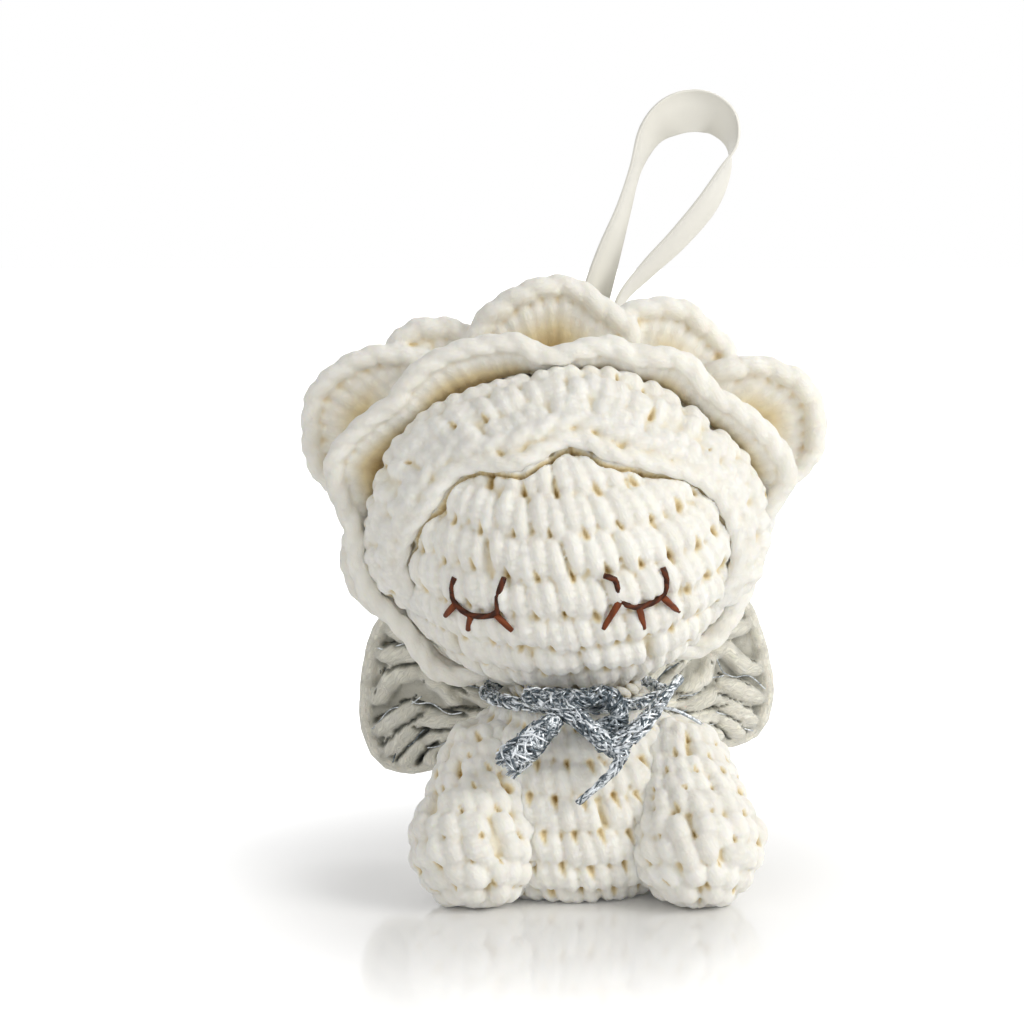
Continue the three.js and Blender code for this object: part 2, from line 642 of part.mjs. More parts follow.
function ribbonAnchor() {
  const bar = new THREE.CylinderGeometry(
    RIBBON_BAR_RADIUS, RIBBON_BAR_RADIUS, RIBBON_BAR_LENGTH, THREAD_SIDES + 4,
  );
  return solid(bar.translate(ribbonBar.x, ribbonBar.y, ribbonBar.z));
}

function ribbonLoop() {
  const points = RIBBON_ROUTE.map(([across, up]) => new THREE.Vector3(across, 0, up));
  const route = new THREE.CatmullRomCurve3(points);
  const rings = [];
  for (let i = 0; i <= RIBBON_STEPS; i += 1) {
    const share = i / RIBBON_STEPS;
    const knot = share * (RIBBON_ROUTE.length - 1);
    const low = Math.min(Math.floor(knot), RIBBON_ROUTE.length - 2);
    const twist = THREE.MathUtils.lerp(RIBBON_ROUTE[low][2], RIBBON_ROUTE[low + 1][2], knot - low) * RAD;
    const along = route.getTangent(share);
    const across = new THREE.Vector3(-along.z, 0, along.x);
    const wide = new THREE.Vector3(0, Math.cos(twist), 0).addScaledVector(across, Math.sin(twist));
    const thick = new THREE.Vector3().crossVectors(along, wide);
    const centre = route.getPoint(share).add(ribbonBar);
    rings.push([[-1, -1], [1, -1], [1, 1], [-1, 1]].map(([u, v]) => centre.clone()
      .addScaledVector(wide, (u * RIBBON_WIDTH) / 2)
      .addScaledVector(thick, (v * RIBBON_THICKNESS) / 2)));
  }
  const room = new THREE.CylinderGeometry(
    RIBBON_BAR_RADIUS + CLEARANCE, RIBBON_BAR_RADIUS + CLEARANCE, 2 * RIBBON_BAR_LENGTH, ROUND_SIDES,
  ).translate(ribbonBar.x, ribbonBar.y, ribbonBar.z);
  return solid(loft(rings)).subtract(solid(room));
}

// Assembly
const lion = new THREE.Group();

function addPiece(name, finish, shape) {
  const mesh = new THREE.Mesh(geometryOf(shape), new THREE.MeshStandardMaterial(finish));
  mesh.name = name;
  lion.add(mesh);
}

addPiece('body_cover', YARN, bodyCover());
addPiece('body_stuffing', FILLING, bodyFilling());
addPiece('neck_seam', YARN, neckSeam());
addPiece('head_cover', YARN, headCover());
addPiece('head_stuffing', FILLING, ellipsoid(-COVER_WALL - CLEARANCE, LIMB_SIDES));
addPiece('mane_cap', YARN, maneCap());
addPiece('mane_fringe', YARN, maneFringe());
addPiece('mane_middle_ruffle', YARN, middleStrip(RUFFLE_THICKNESS).subtract(maneSeat));
addPiece('mane_outer_ruffle', YARN, maneOuter());
addPiece('scarf_band', SILVER, tieBand());
addPiece('scarf_knot', SILVER, tieKnot());
addPiece('scarf_tail_left', SILVER, tieEndLeft());
addPiece('scarf_tail_middle', SILVER, tieEndMiddle());
addPiece('scarf_tail_right', SILVER, tieEndRight());
addPiece('ribbon_anchor', YARN, ribbonAnchor());
addPiece('ribbon_loop', SATIN, ribbonLoop());

for (const [name, side] of [['left', -1], ['right', 1]]) {
  const { cover, filling } = leg(side);
  addPiece(`leg_${name}_cover`, YARN, cover);
  addPiece(`leg_${name}_stuffing`, FILLING, filling);
  addPiece(`wing_${name}_seam`, YARN, wingSeam(side));
  addPiece(`wing_${name}`, WING_YARN, wing(side, WING_TILTS[name], WING_SWEEPS[name]));
  addPiece(`eye_${name}`, EYE_THREAD, eye(side, EYE_TILTS[name]));
}

export default lion;
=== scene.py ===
import math

import bmesh
import bpy
import numpy as np
from bpy.props import FloatProperty, FloatVectorProperty, PointerProperty
from bpy.types import Operator, Panel, PropertyGroup
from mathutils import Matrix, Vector
from mathutils.kdtree import KDTree


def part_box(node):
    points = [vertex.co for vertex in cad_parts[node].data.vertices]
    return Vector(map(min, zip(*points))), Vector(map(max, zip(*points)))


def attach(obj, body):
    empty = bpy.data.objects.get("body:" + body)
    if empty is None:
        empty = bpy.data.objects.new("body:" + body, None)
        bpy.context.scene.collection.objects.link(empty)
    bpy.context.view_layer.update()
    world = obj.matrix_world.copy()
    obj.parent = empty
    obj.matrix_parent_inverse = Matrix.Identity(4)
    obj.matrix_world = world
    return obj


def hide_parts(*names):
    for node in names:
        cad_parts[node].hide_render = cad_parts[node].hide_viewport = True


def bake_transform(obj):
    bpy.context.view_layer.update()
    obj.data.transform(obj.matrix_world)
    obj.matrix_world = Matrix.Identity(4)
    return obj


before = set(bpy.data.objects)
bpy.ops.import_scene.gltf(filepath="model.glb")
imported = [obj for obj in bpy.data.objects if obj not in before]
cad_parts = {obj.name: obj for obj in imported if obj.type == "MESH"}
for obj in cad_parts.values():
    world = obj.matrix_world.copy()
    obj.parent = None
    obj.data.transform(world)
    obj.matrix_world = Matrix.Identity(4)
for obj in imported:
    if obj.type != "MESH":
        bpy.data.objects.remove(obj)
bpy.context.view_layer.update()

bl_info = {
    "name": "Crocheted lion ornament",
    "version": (1, 0, 0),
    "blender": (4, 5, 0),
    "location": "View3D > Sidebar > Crochet",
    "description": "Builds a crocheted lion ornament from yarn stitches round its CAD frame",
    "category": "Object",
}

MM = 0.001
SEED = 7
# Length of the crease beyond a pit, in radii of the pit
PIT_LENGTH = 3.4
# How far a fibre turns round the yarn for each millimetre along it
YARN_TWIST = 0.7
# Each round starts this share of a stitch after the one before it
ROUND_SHIFT = 0.37
# The ring halfway along a stitch
MIDDLE_RING = 3
# Keeps the fibres of one stitch apart from those of the next
FIBRE_STEP = 7.0
# Radius that no stitch's leg passes, in millimetres
FATTEST_LEG = 1.6
# Lengths of a thread, in radii, and how far they overlap, as a share of a length
THREAD_LENGTH = 5
THREAD_OVERLAP = 1.9
# Passes that even out a mesh to find its hollows, and the least and the full depth of one in millimetres, for
# painted shade
HOLLOW_PASSES = 40
HOLLOW_DEPTHS = 0.1, 0.7
# Shapes along a stitch, as (places, values)
LEG_RISE = (0, 0.3, 0.62, 1), (-0.6, 0.3, 0.2, -0.9)
LEG_TAPER = (0, 0.25, 0.6, 0.85, 1), (0.95, 1.05, 1.03, 0.93, 0.75)
POST_TAPER = (0, 0.5, 1), (0.85, 1.05, 0.9)
ROPE_TAPER = (0, 0.3, 0.7, 1), (0.8, 1, 1, 0.8)
TINSEL_TAPER = (0, 0.5, 1), (0.8, 1.0, 0.8)
THREAD_TAPER = (0, 0.2, 0.8, 1), (0.9, 1, 1, 0.9)


# Numbers and curves
def unit(vectors):
    return vectors / np.maximum(np.linalg.norm(vectors, axis=-1, keepdims=True), 1e-9)


def smooth(value, low, high):
    share = np.clip((value - low) / (high - low), 0, 1)
    return share * share * (3 - 2 * share)


def curve_through(points, count):
    """A smooth curve through points, sampled count times."""
    points = np.array(points, float)
    ends = np.vstack([2 * points[0] - points[1], points, 2 * points[-1] - points[-2]])
    at = np.linspace(0, len(points) - 1, count)
    low = np.minimum(at.astype(int), len(points) - 2)
    t = (at - low)[:, None]
    a, b, c, d = (ends[low + i] for i in range(4))
    return 0.5 * (2 * b + (c - a) * t + (2 * a - 5 * b + 4 * c - d) * t**2 + (3 * b - 3 * c + d - a) * t**3)


def lengths_along(curve):
    steps = np.linalg.norm(np.diff(curve, axis=0), axis=1)
    return np.concatenate([[0], np.cumsum(steps)])


def even(curve, count):
    """The same curve with points at equal distances."""
    run = lengths_along(curve)
    at = np.linspace(0, run[-1], count)
    return np.column_stack([np.interp(at, run, column) for column in curve.T])


def sample(curve, at):
    """Points of a curve at shares of its length, for shares of any array shape."""
    at = np.clip(at, 0, 1) * (len(curve) - 1)
    low = np.minimum(at.astype(int), len(curve) - 2)
    t = (at - low)[..., None]
    return curve[low] * (1 - t) + curve[low + 1] * t


def table(rows, at):
    """A smooth value at a place in a table of (place, value) rows."""
    curve = curve_through(rows, 12 * len(rows))
    return np.interp(at, curve[:, 0], curve[:, 1])


def hoop(turn, wide, deep, level):
    """Points at angles round an upright axis."""
    return np.column_stack([wide * np.cos(turn), deep * np.sin(turn), np.full(len(turn), level)])


def middle_of(part):
    """The middle of a CAD node's box, in millimetres."""
    low, high = (np.array(corner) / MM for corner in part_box(part))
    return (low + high) / 2


# Sizes and colours that a user would change
def linear(code):
    """A hex sRGB colour as linear numbers."""
    parts = [int(code[i:i + 2], 16) / 255 for i in (1, 3, 5)]
    return [c / 12.92 if c <= 0.04045 else ((c + 0.055) / 1.055) ** 2.4 for c in parts]


def length(name, description, millimetres):
    return FloatProperty(
        name=name, description=description, default=millimetres * MM, min=0, unit="LENGTH", precision=5
    )


def colour(name, description, code):
    return FloatVectorProperty(
        name=name, description=description, default=linear(code), size=3, min=0, max=1, subtype="COLOR"
    )


HEAD_HALF_HEIGHT = 20.8
HEAD_CENTRE = middle_of("head_stuffing")


class CrochetSizes(PropertyGroup):
    head_half_width: length("Head half width", "From the face's middle to its cheek", 23.5)
    head_half_depth: length("Head half depth", "From the head's middle to its face", 20.5)
    head_half_height: length("Head half height", "From the head's middle to its crown", HEAD_HALF_HEIGHT)
    head_stitch: length("Head stitch", "Width of a stitch on the head", 3.9)
    body_stitch: length("Body stitch", "Width of a stitch on the body and legs", 3.8)
    body_row: length("Body row", "Height of a round on the body and legs", 4.3)
    rope_radius: length("Edge rope", "Radius of the yarn on the ruffles' edges", 1.25)
    ribbon_width: length("Ribbon width", "Width of the satin ribbon", 6)
    eye_thread: length("Eye thread", "Radius of the embroidery thread", 0.42)
    camera_distance: length("Camera distance", "From the camera to the figure", 375)


class CrochetColours(PropertyGroup):
    cream: colour("Cream yarn", "Crests of the cotton yarn", "#F6F4ED")
    # Painted warm light, as between the ruffles, halfway into the painted shade
    painted_fold_light: colour("Warm fold", "Light that has passed between the ruffles", "#EADBB4")
    # Painted shade between the stitches
    ochre_painted_shade: colour("Ochre recess", "Warm shade between the stitches", "#B08D4C")
    wing: colour("Wing yarn", "Crests of the wings' yarn", "#E2E0D6")
    # Painted shade on the sides of the wings' strands
    wing_painted_side_shade: colour("Wing fold", "Sides of the wings' strands", "#A5A398")
    # Painted shade between the wings' strands
    wing_shade: colour("Wing recess", "Shade between the wings' strands", "#595C56")
    # Painted glints and painted dark reflections of the metallic cord
    silver_painted_glint: colour("Silver light", "Bright flecks of the metallic cord", "#EDF2F7")
    silver_painted_dark_reflection: colour("Silver dark", "Dark flecks of the metallic cord", "#545F67")
    brown: colour("Brown thread", "Embroidered eyes", "#8C451F")
    ribbon: colour("Ribbon", "Ivory satin", "#ECEAE2")
    floor: colour("Floor", "Pale glossy floor", "#F4F4F4")


def head_half(sizes):
    """Half of the head's width, depth and height, in millimetres."""
    return np.array([sizes.head_half_width, sizes.head_half_depth, sizes.head_half_height]) / MM


# Materials
def set_inputs(tree, made, inputs=None, links=None):
    """Give a node its constant inputs and its links from (node, output)."""
    for name, value in (inputs or {}).items():
        made.inputs[name].default_value = value
    for name, (source, output) in (links or {}).items():
        tree.links.new(source.outputs[output], made.inputs[name])


def node(tree, kind, settings=None, inputs=None, links=None):
    """Add a node with its settings, its constant inputs and its links."""
    made = tree.nodes.new(kind)
    for name, value in (settings or {}).items():
        setattr(made, name, value)
    set_inputs(tree, made, inputs, links)
    return made


def rgba(value):
    return (*value, 1)


def named_material(name, paint, *looks):
    """The material of a name. If there is none yet, it is made and a function paints it."""
    found = bpy.data.materials.get(name)
    if found is None:
        found = bpy.data.materials.new(name)
        found.use_nodes = True
        paint(found.node_tree, found.node_tree.nodes["Principled BSDF"], *looks)
    return found


def cotton_yarn(tree, shader, crest, painted_fold_light, painted_shade, streak=0.12):
    """Plied cotton yarn: matt, soft at its edges, with slanting fibres, and painted warm light and shade in
    its hollows.
    """
    depth, tone, fibre = (
        node(tree, "ShaderNodeAttribute", {"attribute_name": kind}) for kind in ("painted_shade", "tone", "fibre")
    )
    place = node(tree, "ShaderNodeTexCoord")
    stretched = node(
        tree, "ShaderNodeVectorMath", {"operation": "MULTIPLY"}, {1: (3.2, 0.5, 1)}, {0: (fibre, "Vector")}
    )
    strands = node(tree, "ShaderNodeTexNoise", None, {"Scale": 1, "Detail": 2}, {"Vector": (stretched, 0)})
    lint = node(
        tree, "ShaderNodeTexNoise", None, {"Scale": 1100, "Detail": 3}, {"Vector": (place, "Object")}
    )
    # The painted shade runs from the crest colour through a painted warm light to the full painted shade
    blend = node(tree, "ShaderNodeValToRGB", links={"Fac": (depth, "Fac")})
    stops = blend.color_ramp.elements
    stops[0].color = rgba(crest)
    stops[1].color = rgba(painted_shade)
    stops.new(0.5).color = rgba(painted_fold_light)
    shade = node(
        tree, "ShaderNodeMapRange", links={"Value": (tone, "Fac")},
        inputs={"From Min": 0, "From Max": 1, "To Min": 0.94 - streak / 2, "To Max": 1.04 - streak / 2},
    )
    value = node(
        tree, "ShaderNodeMath", {"operation": "MULTIPLY_ADD"}, {1: streak},
        {0: (strands, "Fac"), 2: (shade, "Result")},
    )
    tint = node(tree, "ShaderNodeHueSaturation", links={"Color": (blend, "Color"), "Value": (value, 0)})
    fuzz = node(
        tree, "ShaderNodeMath", {"operation": "MULTIPLY_ADD"}, {1: 1.2},
        {0: (strands, "Fac"), 2: (lint, "Fac")},
    )
    bump = node(
        tree, "ShaderNodeBump", None, {"Strength": 0.4, "Distance": 0.0003}, {"Height": (fuzz, "Value")}
    )
    look = {
        "Roughness": 0.9, "Specular IOR Level": 0.25, "Sheen Weight": 0.25, "Sheen Roughness": 0.5,
        "Subsurface Weight": 0.4, "Subsurface Radius": (1, 0.85, 0.6), "Subsurface Scale": 0.0012,
    }
    set_inputs(tree, shader, look, {"Base Color": (tint, "Color"), "Normal": (bump, "Normal")})


def metal_yarn(tree, shader, light, dark):
    """Metallised film yarn: fine bright and dark flecks, which are painted glints and painted dark
    reflections, on strands whose brightness differs at random and drops where shade is painted.
    """
    tone = node(tree, "ShaderNodeAttribute", {"attribute_name": "tone"})
    place = node(tree, "ShaderNodeTexCoord")
    flecks = node(tree, "ShaderNodeTexVoronoi", None, {"Scale": 2600}, {"Vector": (place, "Object")})
    split = node(tree, "ShaderNodeSeparateColor", links={"Color": (flecks, "Color")})
    mixed = node(
        tree, "ShaderNodeMath", {"operation": "MULTIPLY_ADD"}, {1: 0.5}, {0: (split, "Red"), 2: (tone, "Fac")}
    )
    ramp = node(
        tree, "ShaderNodeMapRange", None, {"From Min": 0.45, "From Max": 1.1}, {"Value": (mixed, 0)}
    )
    blend = node(
        tree, "ShaderNodeMix", {"data_type": "RGBA"}, {6: rgba(dark), 7: rgba(light)}, {0: (ramp, "Result")}
    )
    bump = node(
        tree, "ShaderNodeBump", None, {"Strength": 0.5, "Distance": 0.0002}, {"Height": (split, "Green")}
    )
    look = {"Metallic": 0.6, "Roughness": 0.35}
    set_inputs(tree, shader, look, {"Base Color": (blend, 2), "Normal": (bump, "Normal")})


def embroidery_cotton(tree, shader, base):
    """Stranded embroidery cotton: dull sheen, with a fine slanting twist and painted shade in its grooves."""
    place = node(tree, "ShaderNodeTexCoord")
    twist = node(
        tree, "ShaderNodeTexWave", {"bands_direction": "DIAGONAL"},
        {"Scale": 1.257, "Distortion": 0.5}, {"Vector": (place, "UV")},
    )
    tone = node(tree, "ShaderNodeAttribute", {"attribute_name": "tone"})
    lit = node(
        tree, "ShaderNodeMath", {"operation": "MULTIPLY_ADD", "use_clamp": True}, {1: 0.4},
        {0: (twist, "Fac"), 2: (tone, "Fac")},
    )
    # Painted shade: the thread darkens toward a sixth of its colour in its twist's grooves and where its tone
    # is low
    dark = [part * 0.16 for part in base]
    blend = node(
        tree, "ShaderNodeMix", {"data_type": "RGBA"}, {6: rgba(dark), 7: rgba(base)}, {0: (lit, 0)}
    )
    bump = node(
        tree, "ShaderNodeBump", None, {"Strength": 0.5, "Distance": 0.0002}, {"Height": (twist, "Fac")}
    )
    look = {"Roughness": 0.6, "Specular IOR Level": 0.3}
    set_inputs(tree, shader, look, {"Base Color": (blend, 2), "Normal": (bump, "Normal")})


def satin(tree, shader, base):
    """Polyester satin: smooth and glossy along fine lengthwise threads."""
    place = node(tree, "ShaderNodeTexCoord")
    threads = node(
        tree, "ShaderNodeTexWave", {"bands_direction": "X"}, {"Scale": 9, "Distortion": 0.8, "Detail": 2},
        {"Vector": (place, "UV")},
    )
    clouds = node(
        tree, "ShaderNodeTexNoise", None, {"Scale": 130, "Detail": 2}, {"Vector": (place, "Object")}
    )
    shade = node(
        tree, "ShaderNodeMapRange", links={"Value": (clouds, "Fac")},
        inputs={"From Min": 0.3, "From Max": 0.7, "To Min": 0.94, "To Max": 1.03},
    )
    tint = node(tree, "ShaderNodeHueSaturation", None, {"Color": rgba(base)}, {"Value": (shade, "Result")})
    bump = node(
        tree, "ShaderNodeBump", None, {"Strength": 0.12, "Distance": 0.0001}, {"Height": (threads, "Fac")}
    )
    look = {"Roughness": 0.38, "Sheen Weight": 0.2}
    set_inputs(tree, shader, look, {"Base Color": (tint, "Color"), "Normal": (bump, "Normal")})


def lacquered_board(tree, shader, base):
    """Pale lacquered board: a soft mirror that fades into the white studio away from the figure."""
    place = node(tree, "ShaderNodeTexCoord")
    away = node(tree, "ShaderNodeVectorMath", {"operation": "LENGTH"}, links={0: (place, "Object")})
    fade = node(
        tree, "ShaderNodeMapRange", {"interpolation_type": "SMOOTHSTEP"},
        {"From Min": 0.022, "From Max": 0.09, "To Min": 0.04, "To Max": 0.7}, {"Value": (away, "Value")},
    )
    path = node(tree, "ShaderNodeLightPath")
    glow = node(
        tree, "ShaderNodeMath", {"operation": "MULTIPLY"},
        links={0: (path, "Is Camera Ray"), 1: (fade, "Result")},
    )
    look = {
        "Base Color": rgba(base), "Roughness": 0.1, "Specular IOR Level": 0.7,
        "Emission Color": (1, 1, 1, 1),
    }
    set_inputs(tree, shader, look, {"Emission Strength": (glow, 0)})


def cream_yarn(colours):
    return named_material("cream_cotton_yarn", cotton_yarn, colours.cream, colours.painted_fold_light, colours.ochre_painted_shade)


def silver_cord(colours):
    return named_material("silver_film_cord", metal_yarn, colours.silver_painted_glint, colours.silver_painted_dark_reflection)


# Meshes
def choose(active, *others):
    """Select objects and make the first one active."""
    bpy.ops.object.select_all(action="DESELECT")
    for made in (active, *others):
        made.select_set(True)
    bpy.context.view_layer.objects.active = active


def modify(made, kind, **settings):
    """Add a modifier to the active object and apply it."""
    bpy.ops.object.modifier_add(type=kind)
    modifier = made.modifiers[0]
    for name, value in settings.items():
        setattr(modifier, name, value)
    bpy.ops.object.modifier_apply(modifier=modifier.name)


def face_outwards(merge=None):
    """Turn the active object's faces outwards, after merging points that lie within a distance."""
    bpy.ops.object.mode_set(mode="EDIT")
    bpy.ops.mesh.select_all(action="SELECT")
    if merge:
        bpy.ops.mesh.remove_doubles(threshold=merge)
    bpy.ops.mesh.normals_make_consistent(inside=False)
    bpy.ops.object.mode_set(mode="OBJECT")


def vertex_values(mesh, field):
    values = np.empty(len(mesh.vertices) * 3, np.float32)
    mesh.vertices.foreach_get(field, values)
    return values.reshape(-1, 3)


def move_vertices(mesh, points):
    mesh.vertices.foreach_set("co", (points * MM).astype(np.float32).ravel())
    mesh.update()


def attribute_values(mesh, name):
    attribute = mesh.attributes[name]
    wide = attribute.data_type == "FLOAT_VECTOR"
    values = np.empty(len(mesh.vertices) * (3 if wide else 1), np.float32)
    attribute.data.foreach_get("vector" if wide else "value", values)
    return values.reshape(-1, 3) if wide else values


def fill_attribute(mesh, name, values):
    values = np.asarray(values, np.float32)
    kind, field = ("FLOAT", "value") if values.ndim == 1 else ("FLOAT_VECTOR", "vector")
    attribute = mesh.attributes.get(name) or mesh.attributes.new(name, kind, "POINT")
    attribute.data.foreach_set(field, values.ravel())


def near_tree(points):
    """A tree that finds the points near a place."""
    tree = KDTree(len(points))
    for i, point in enumerate(points):
        tree.insert(point, i)
    tree.balance()
    return tree


# Yarn: one stitch is modelled, then copied along lines
STITCH = {}


def stitch():
    """One plump yarn lobe, modelled from a sphere. Its rings run from its head, at 0, to its tip, at 1."""
    if STITCH:
        return STITCH
    bpy.ops.object.select_all(action="DESELECT")
    bpy.ops.mesh.primitive_uv_sphere_add(segments=10, ring_count=7, radius=1)
    lobe = bpy.context.object
    bpy.ops.object.mode_set(mode="EDIT")
    for low, high, swell in ((0.85, 0.95, 1.42), (0.5, 0.7, 1.13)):
        shell = bmesh.from_edit_mesh(lobe.data)
        for vertex in shell.verts:
            vertex.select = low < abs(vertex.co.z) < high
        shell.select_flush(True)
        bmesh.update_edit_mesh(lobe.data)
        bpy.ops.transform.resize(value=(swell, swell, 1))
    bpy.ops.object.mode_set(mode="OBJECT")
    mesh = lobe.data
    points = np.array([vertex.co for vertex in mesh.vertices])
    levels = np.round((1 - points[:, 2]) / 2, 4)
    rings, ring = np.unique(levels, return_inverse=True)
    STITCH.update(
        rings=rings,
        ring=ring,
        across=points[:, 0],
        out=points[:, 1],
        corners=np.array([loop.vertex_index for loop in mesh.loops]),
        sizes=np.array([face.loop_total for face in mesh.polygons]),
        uv=np.array([corner.uv for corner in mesh.uv_layers[0].data]),
    )
    bpy.data.objects.remove(lobe)
    bpy.data.meshes.remove(mesh)
    return STITCH


def yarn_mesh(name, lobes):
    """One mesh of stitch copies. A group of lobes is (centre lines, radii, outward directions, tones)."""
    shape = stitch()
    lines, radii, ups, tones = (np.concatenate(part) for part in zip(*lobes))
    ring, across, out = shape["ring"], shape["across"], shape["out"]
    count, size = len(lines), len(ring)
    tangents = unit(np.gradient(lines, axis=1))
    sides = unit(np.cross(tangents, ups))
    outs = np.cross(sides, tangents)
    reach = across[None, :, None] * sides[:, ring] + out[None, :, None] * outs[:, ring]
    points = lines[:, ring] + radii[:, ring, None] * reach
    mesh = bpy.data.meshes.new(name)
    mesh.vertices.add(count * size)
    mesh.vertices.foreach_set("co", (points * MM).astype(np.float32).ravel())
    corners = (shape["corners"][None, :] + size * np.arange(count)[:, None]).ravel()
    starts = np.concatenate([[0], np.cumsum(np.tile(shape["sizes"], count))[:-1]])
    mesh.loops.add(len(corners))
    mesh.loops.foreach_set("vertex_index", corners.astype(np.int32))
    mesh.polygons.add(len(starts))
    mesh.polygons.foreach_set("loop_start", starts.astype(np.int32))
    mesh.polygons.foreach_set("use_smooth", np.ones(len(starts), bool))
    mesh.update(calc_edges=True)
    run = np.linalg.norm(np.diff(lines, axis=1), axis=2).sum(axis=1)
    girth = 2 * np.pi * np.maximum(radii.max(axis=1), 0.1)
    uv = np.repeat(shape["uv"][None], count, axis=0)
    uv[:, :, 1] *= (run / girth)[:, None]
    mesh.uv_layers.new(name="UVMap").data.foreach_set("uv", uv.astype(np.float32).ravel())
    level = shape["rings"][ring]
    # A stitch is painted darker with shade underneath and at its tip
    painted_darkness = np.clip(0.35 - 0.75 * out, 0, 1) + 0.7 * smooth(level, 0.72, 1)
    fill_attribute(mesh, "painted_shade", np.tile(np.clip(painted_darkness, 0, 1), count))
    fill_attribute(mesh, "tone", np.repeat(tones, size))
    along = run[:, None] * level
    around = np.arctan2(across, out) * radii.max(axis=1)[:, None] + YARN_TWIST * along
    lobe = np.repeat(FIBRE_STEP * np.arange(1, count + 1)[:, None], size, axis=1)
    fill_attribute(mesh, "fibre", np.stack([around, along, lobe], axis=-1).reshape(-1, 3))
    return mesh


def piece(name, mesh, material, body, slot, *nodes):
    """A piece that stands for CAD nodes. It rides on one body, or else keeps its place unparented."""
    made = bpy.data.objects.new(name, mesh)
    bpy.context.scene.collection.objects.link(made)
    mesh.materials.append(material)
    if isinstance(body, str):
        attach(made, body)
    else:
        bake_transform(made)
    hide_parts(*nodes)
    return made


def yarn_piece(name, lobes, material, body, slot, *nodes):
    """A piece made of stitches."""
    return piece(name, yarn_mesh(name, lobes), material, body, slot, *nodes)


def cream_piece(name, lobes, colours, body, *nodes):
    """A piece made of stitches in the cream yarn."""
    return yarn_piece(name, lobes, cream_yarn(colours), body, "cream_yarn", *nodes)


def under_cloth(surface, columns, rows, lift=0, painted_shade=1.0, wall=None):
    """The cloth under the stitches, painted with shade: a grid over a surface, closed at its seam, or a sheet
    with a wall.
    """
    bpy.ops.object.select_all(action="DESELECT")
    bpy.ops.mesh.primitive_grid_add(x_subdivisions=columns, y_subdivisions=rows, size=1)
    cloth = bpy.context.object
    flat = vertex_values(cloth.data, "co").astype(float) + 0.5
    move_vertices(cloth.data, surface(flat[:, 0], flat[:, 1], np.full(len(flat), lift)))
    face_outwards(merge=0.02 * MM)
    if wall:
        modify(cloth, "SOLIDIFY", thickness=wall * MM, offset=0)
    bpy.ops.object.shade_smooth()
    count = len(cloth.data.vertices)
    fill_attribute(cloth.data, "painted_shade", np.full(count, painted_shade))
    fill_attribute(cloth.data, "tone", np.full(count, 0.5))
    fill_attribute(cloth.data, "fibre", np.zeros((count, 3)))
    return cloth


def join(main, *others):
    """Join other objects into the main one."""
    for other in others:
        other.data.materials.append(main.data.materials[0])
    choose(main, *others)
    bpy.ops.object.join()
    return main


def soften(made, voxel, passes, shade=0.15, pits=(), pit=(0.6, 0.5)):
    """Let stitches grow together, as soft spun yarn does, keep their painted shade, tones and fibres and
    their holes, and paint shade into their hollows and pits.

    A pit has a radius and a depth in millimetres.
    """
    tree = near_tree(vertex_values(made.data, "co"))
    shades = {name: attribute_values(made.data, name) for name in ("painted_shade", "tone", "fibre")}
    choose(made)
    modify(made, "REMESH", mode="VOXEL", voxel_size=voxel * MM, use_smooth_shade=True)
    modify(made, "SMOOTH", factor=0.5, iterations=passes)
    mesh = made.data
    found = [tree.find_n(vertex.co, 4) for vertex in mesh.vertices]
    around = np.array([[hit[1] for hit in hits] for hits in found])
    near = around[:, 0]
    fibre = shades["fibre"][around]
    weight = 1 / (np.array([[hit[2] for hit in hits] for hits in found]) + 1e-6)
    same_lobe = fibre[..., 2] == fibre[:, :1, 2]
    weight = (weight * same_lobe)[..., None]
    fill_attribute(mesh, "fibre", (fibre * weight).sum(axis=1) / weight.sum(axis=1))
    inside = spread(mesh, shades["painted_shade"][near][:, None], 8)[:, 0]
    # Painted shade: in hollows between stitches, from the stitches' and cloth's painted shade spread out, and
    # in the pits
    painted_darkness = hollows(mesh) + shade * inside + 0.85 * pierce(mesh, pits, *pit)
    fill_attribute(mesh, "painted_shade", np.clip(painted_darkness, 0, 1))
    fill_attribute(mesh, "tone", spread(mesh, shades["tone"][near][:, None], 2)[:, 0])
    return made


def pierce(mesh, pits, radius, depth):
    """Push the mesh in at each pit, and tell how far in each point lies.

    A pit is its place, its outward direction, the direction of the crease that narrows away from it
    and its size.
    """
    points = vertex_values(mesh, "co") / MM
    inside = np.zeros(len(points))
    tree = near_tree(points)
    for place, outward, along, size in pits:
        wide = radius * size
        near = np.array([found[1] for found in tree.find_range(place, PIT_LENGTH * wide)], int)
        away = points[near] - place
        across = np.cross(outward, along)
        up = away @ along / wide
        narrow = 1 - 0.55 * np.clip(up / PIT_LENGTH, 0, 1)
        aside = np.hypot(away @ across / (wide * narrow), up / np.where(up > 0, PIT_LENGTH, 1))
        share = np.clip(1 - aside**2, 0, 1) ** 1.5
        points[near] -= (depth * share)[:, None] * outward
        inside[near] = np.maximum(inside[near], share)
    move_vertices(mesh, points)
    return inside


def fold_shade(made, edge, near, far, most):
    """Warm shade in a ruffle's folds, from none near its edge to the most far from it, and less behind."""
    tree = near_tree(edge * MM)
    away = np.array([tree.find(vertex.co)[2] for vertex in made.data.vertices]) / MM
    behind = smooth(vertex_values(made.data, "normal")[:, 1].astype(float), -0.2, 0.4)
    warm = most * smooth(away, near, far) * (1 - 0.6 * behind)
    fill_attribute(made.data, "painted_shade", np.maximum(attribute_values(made.data, "painted_shade"), warm))


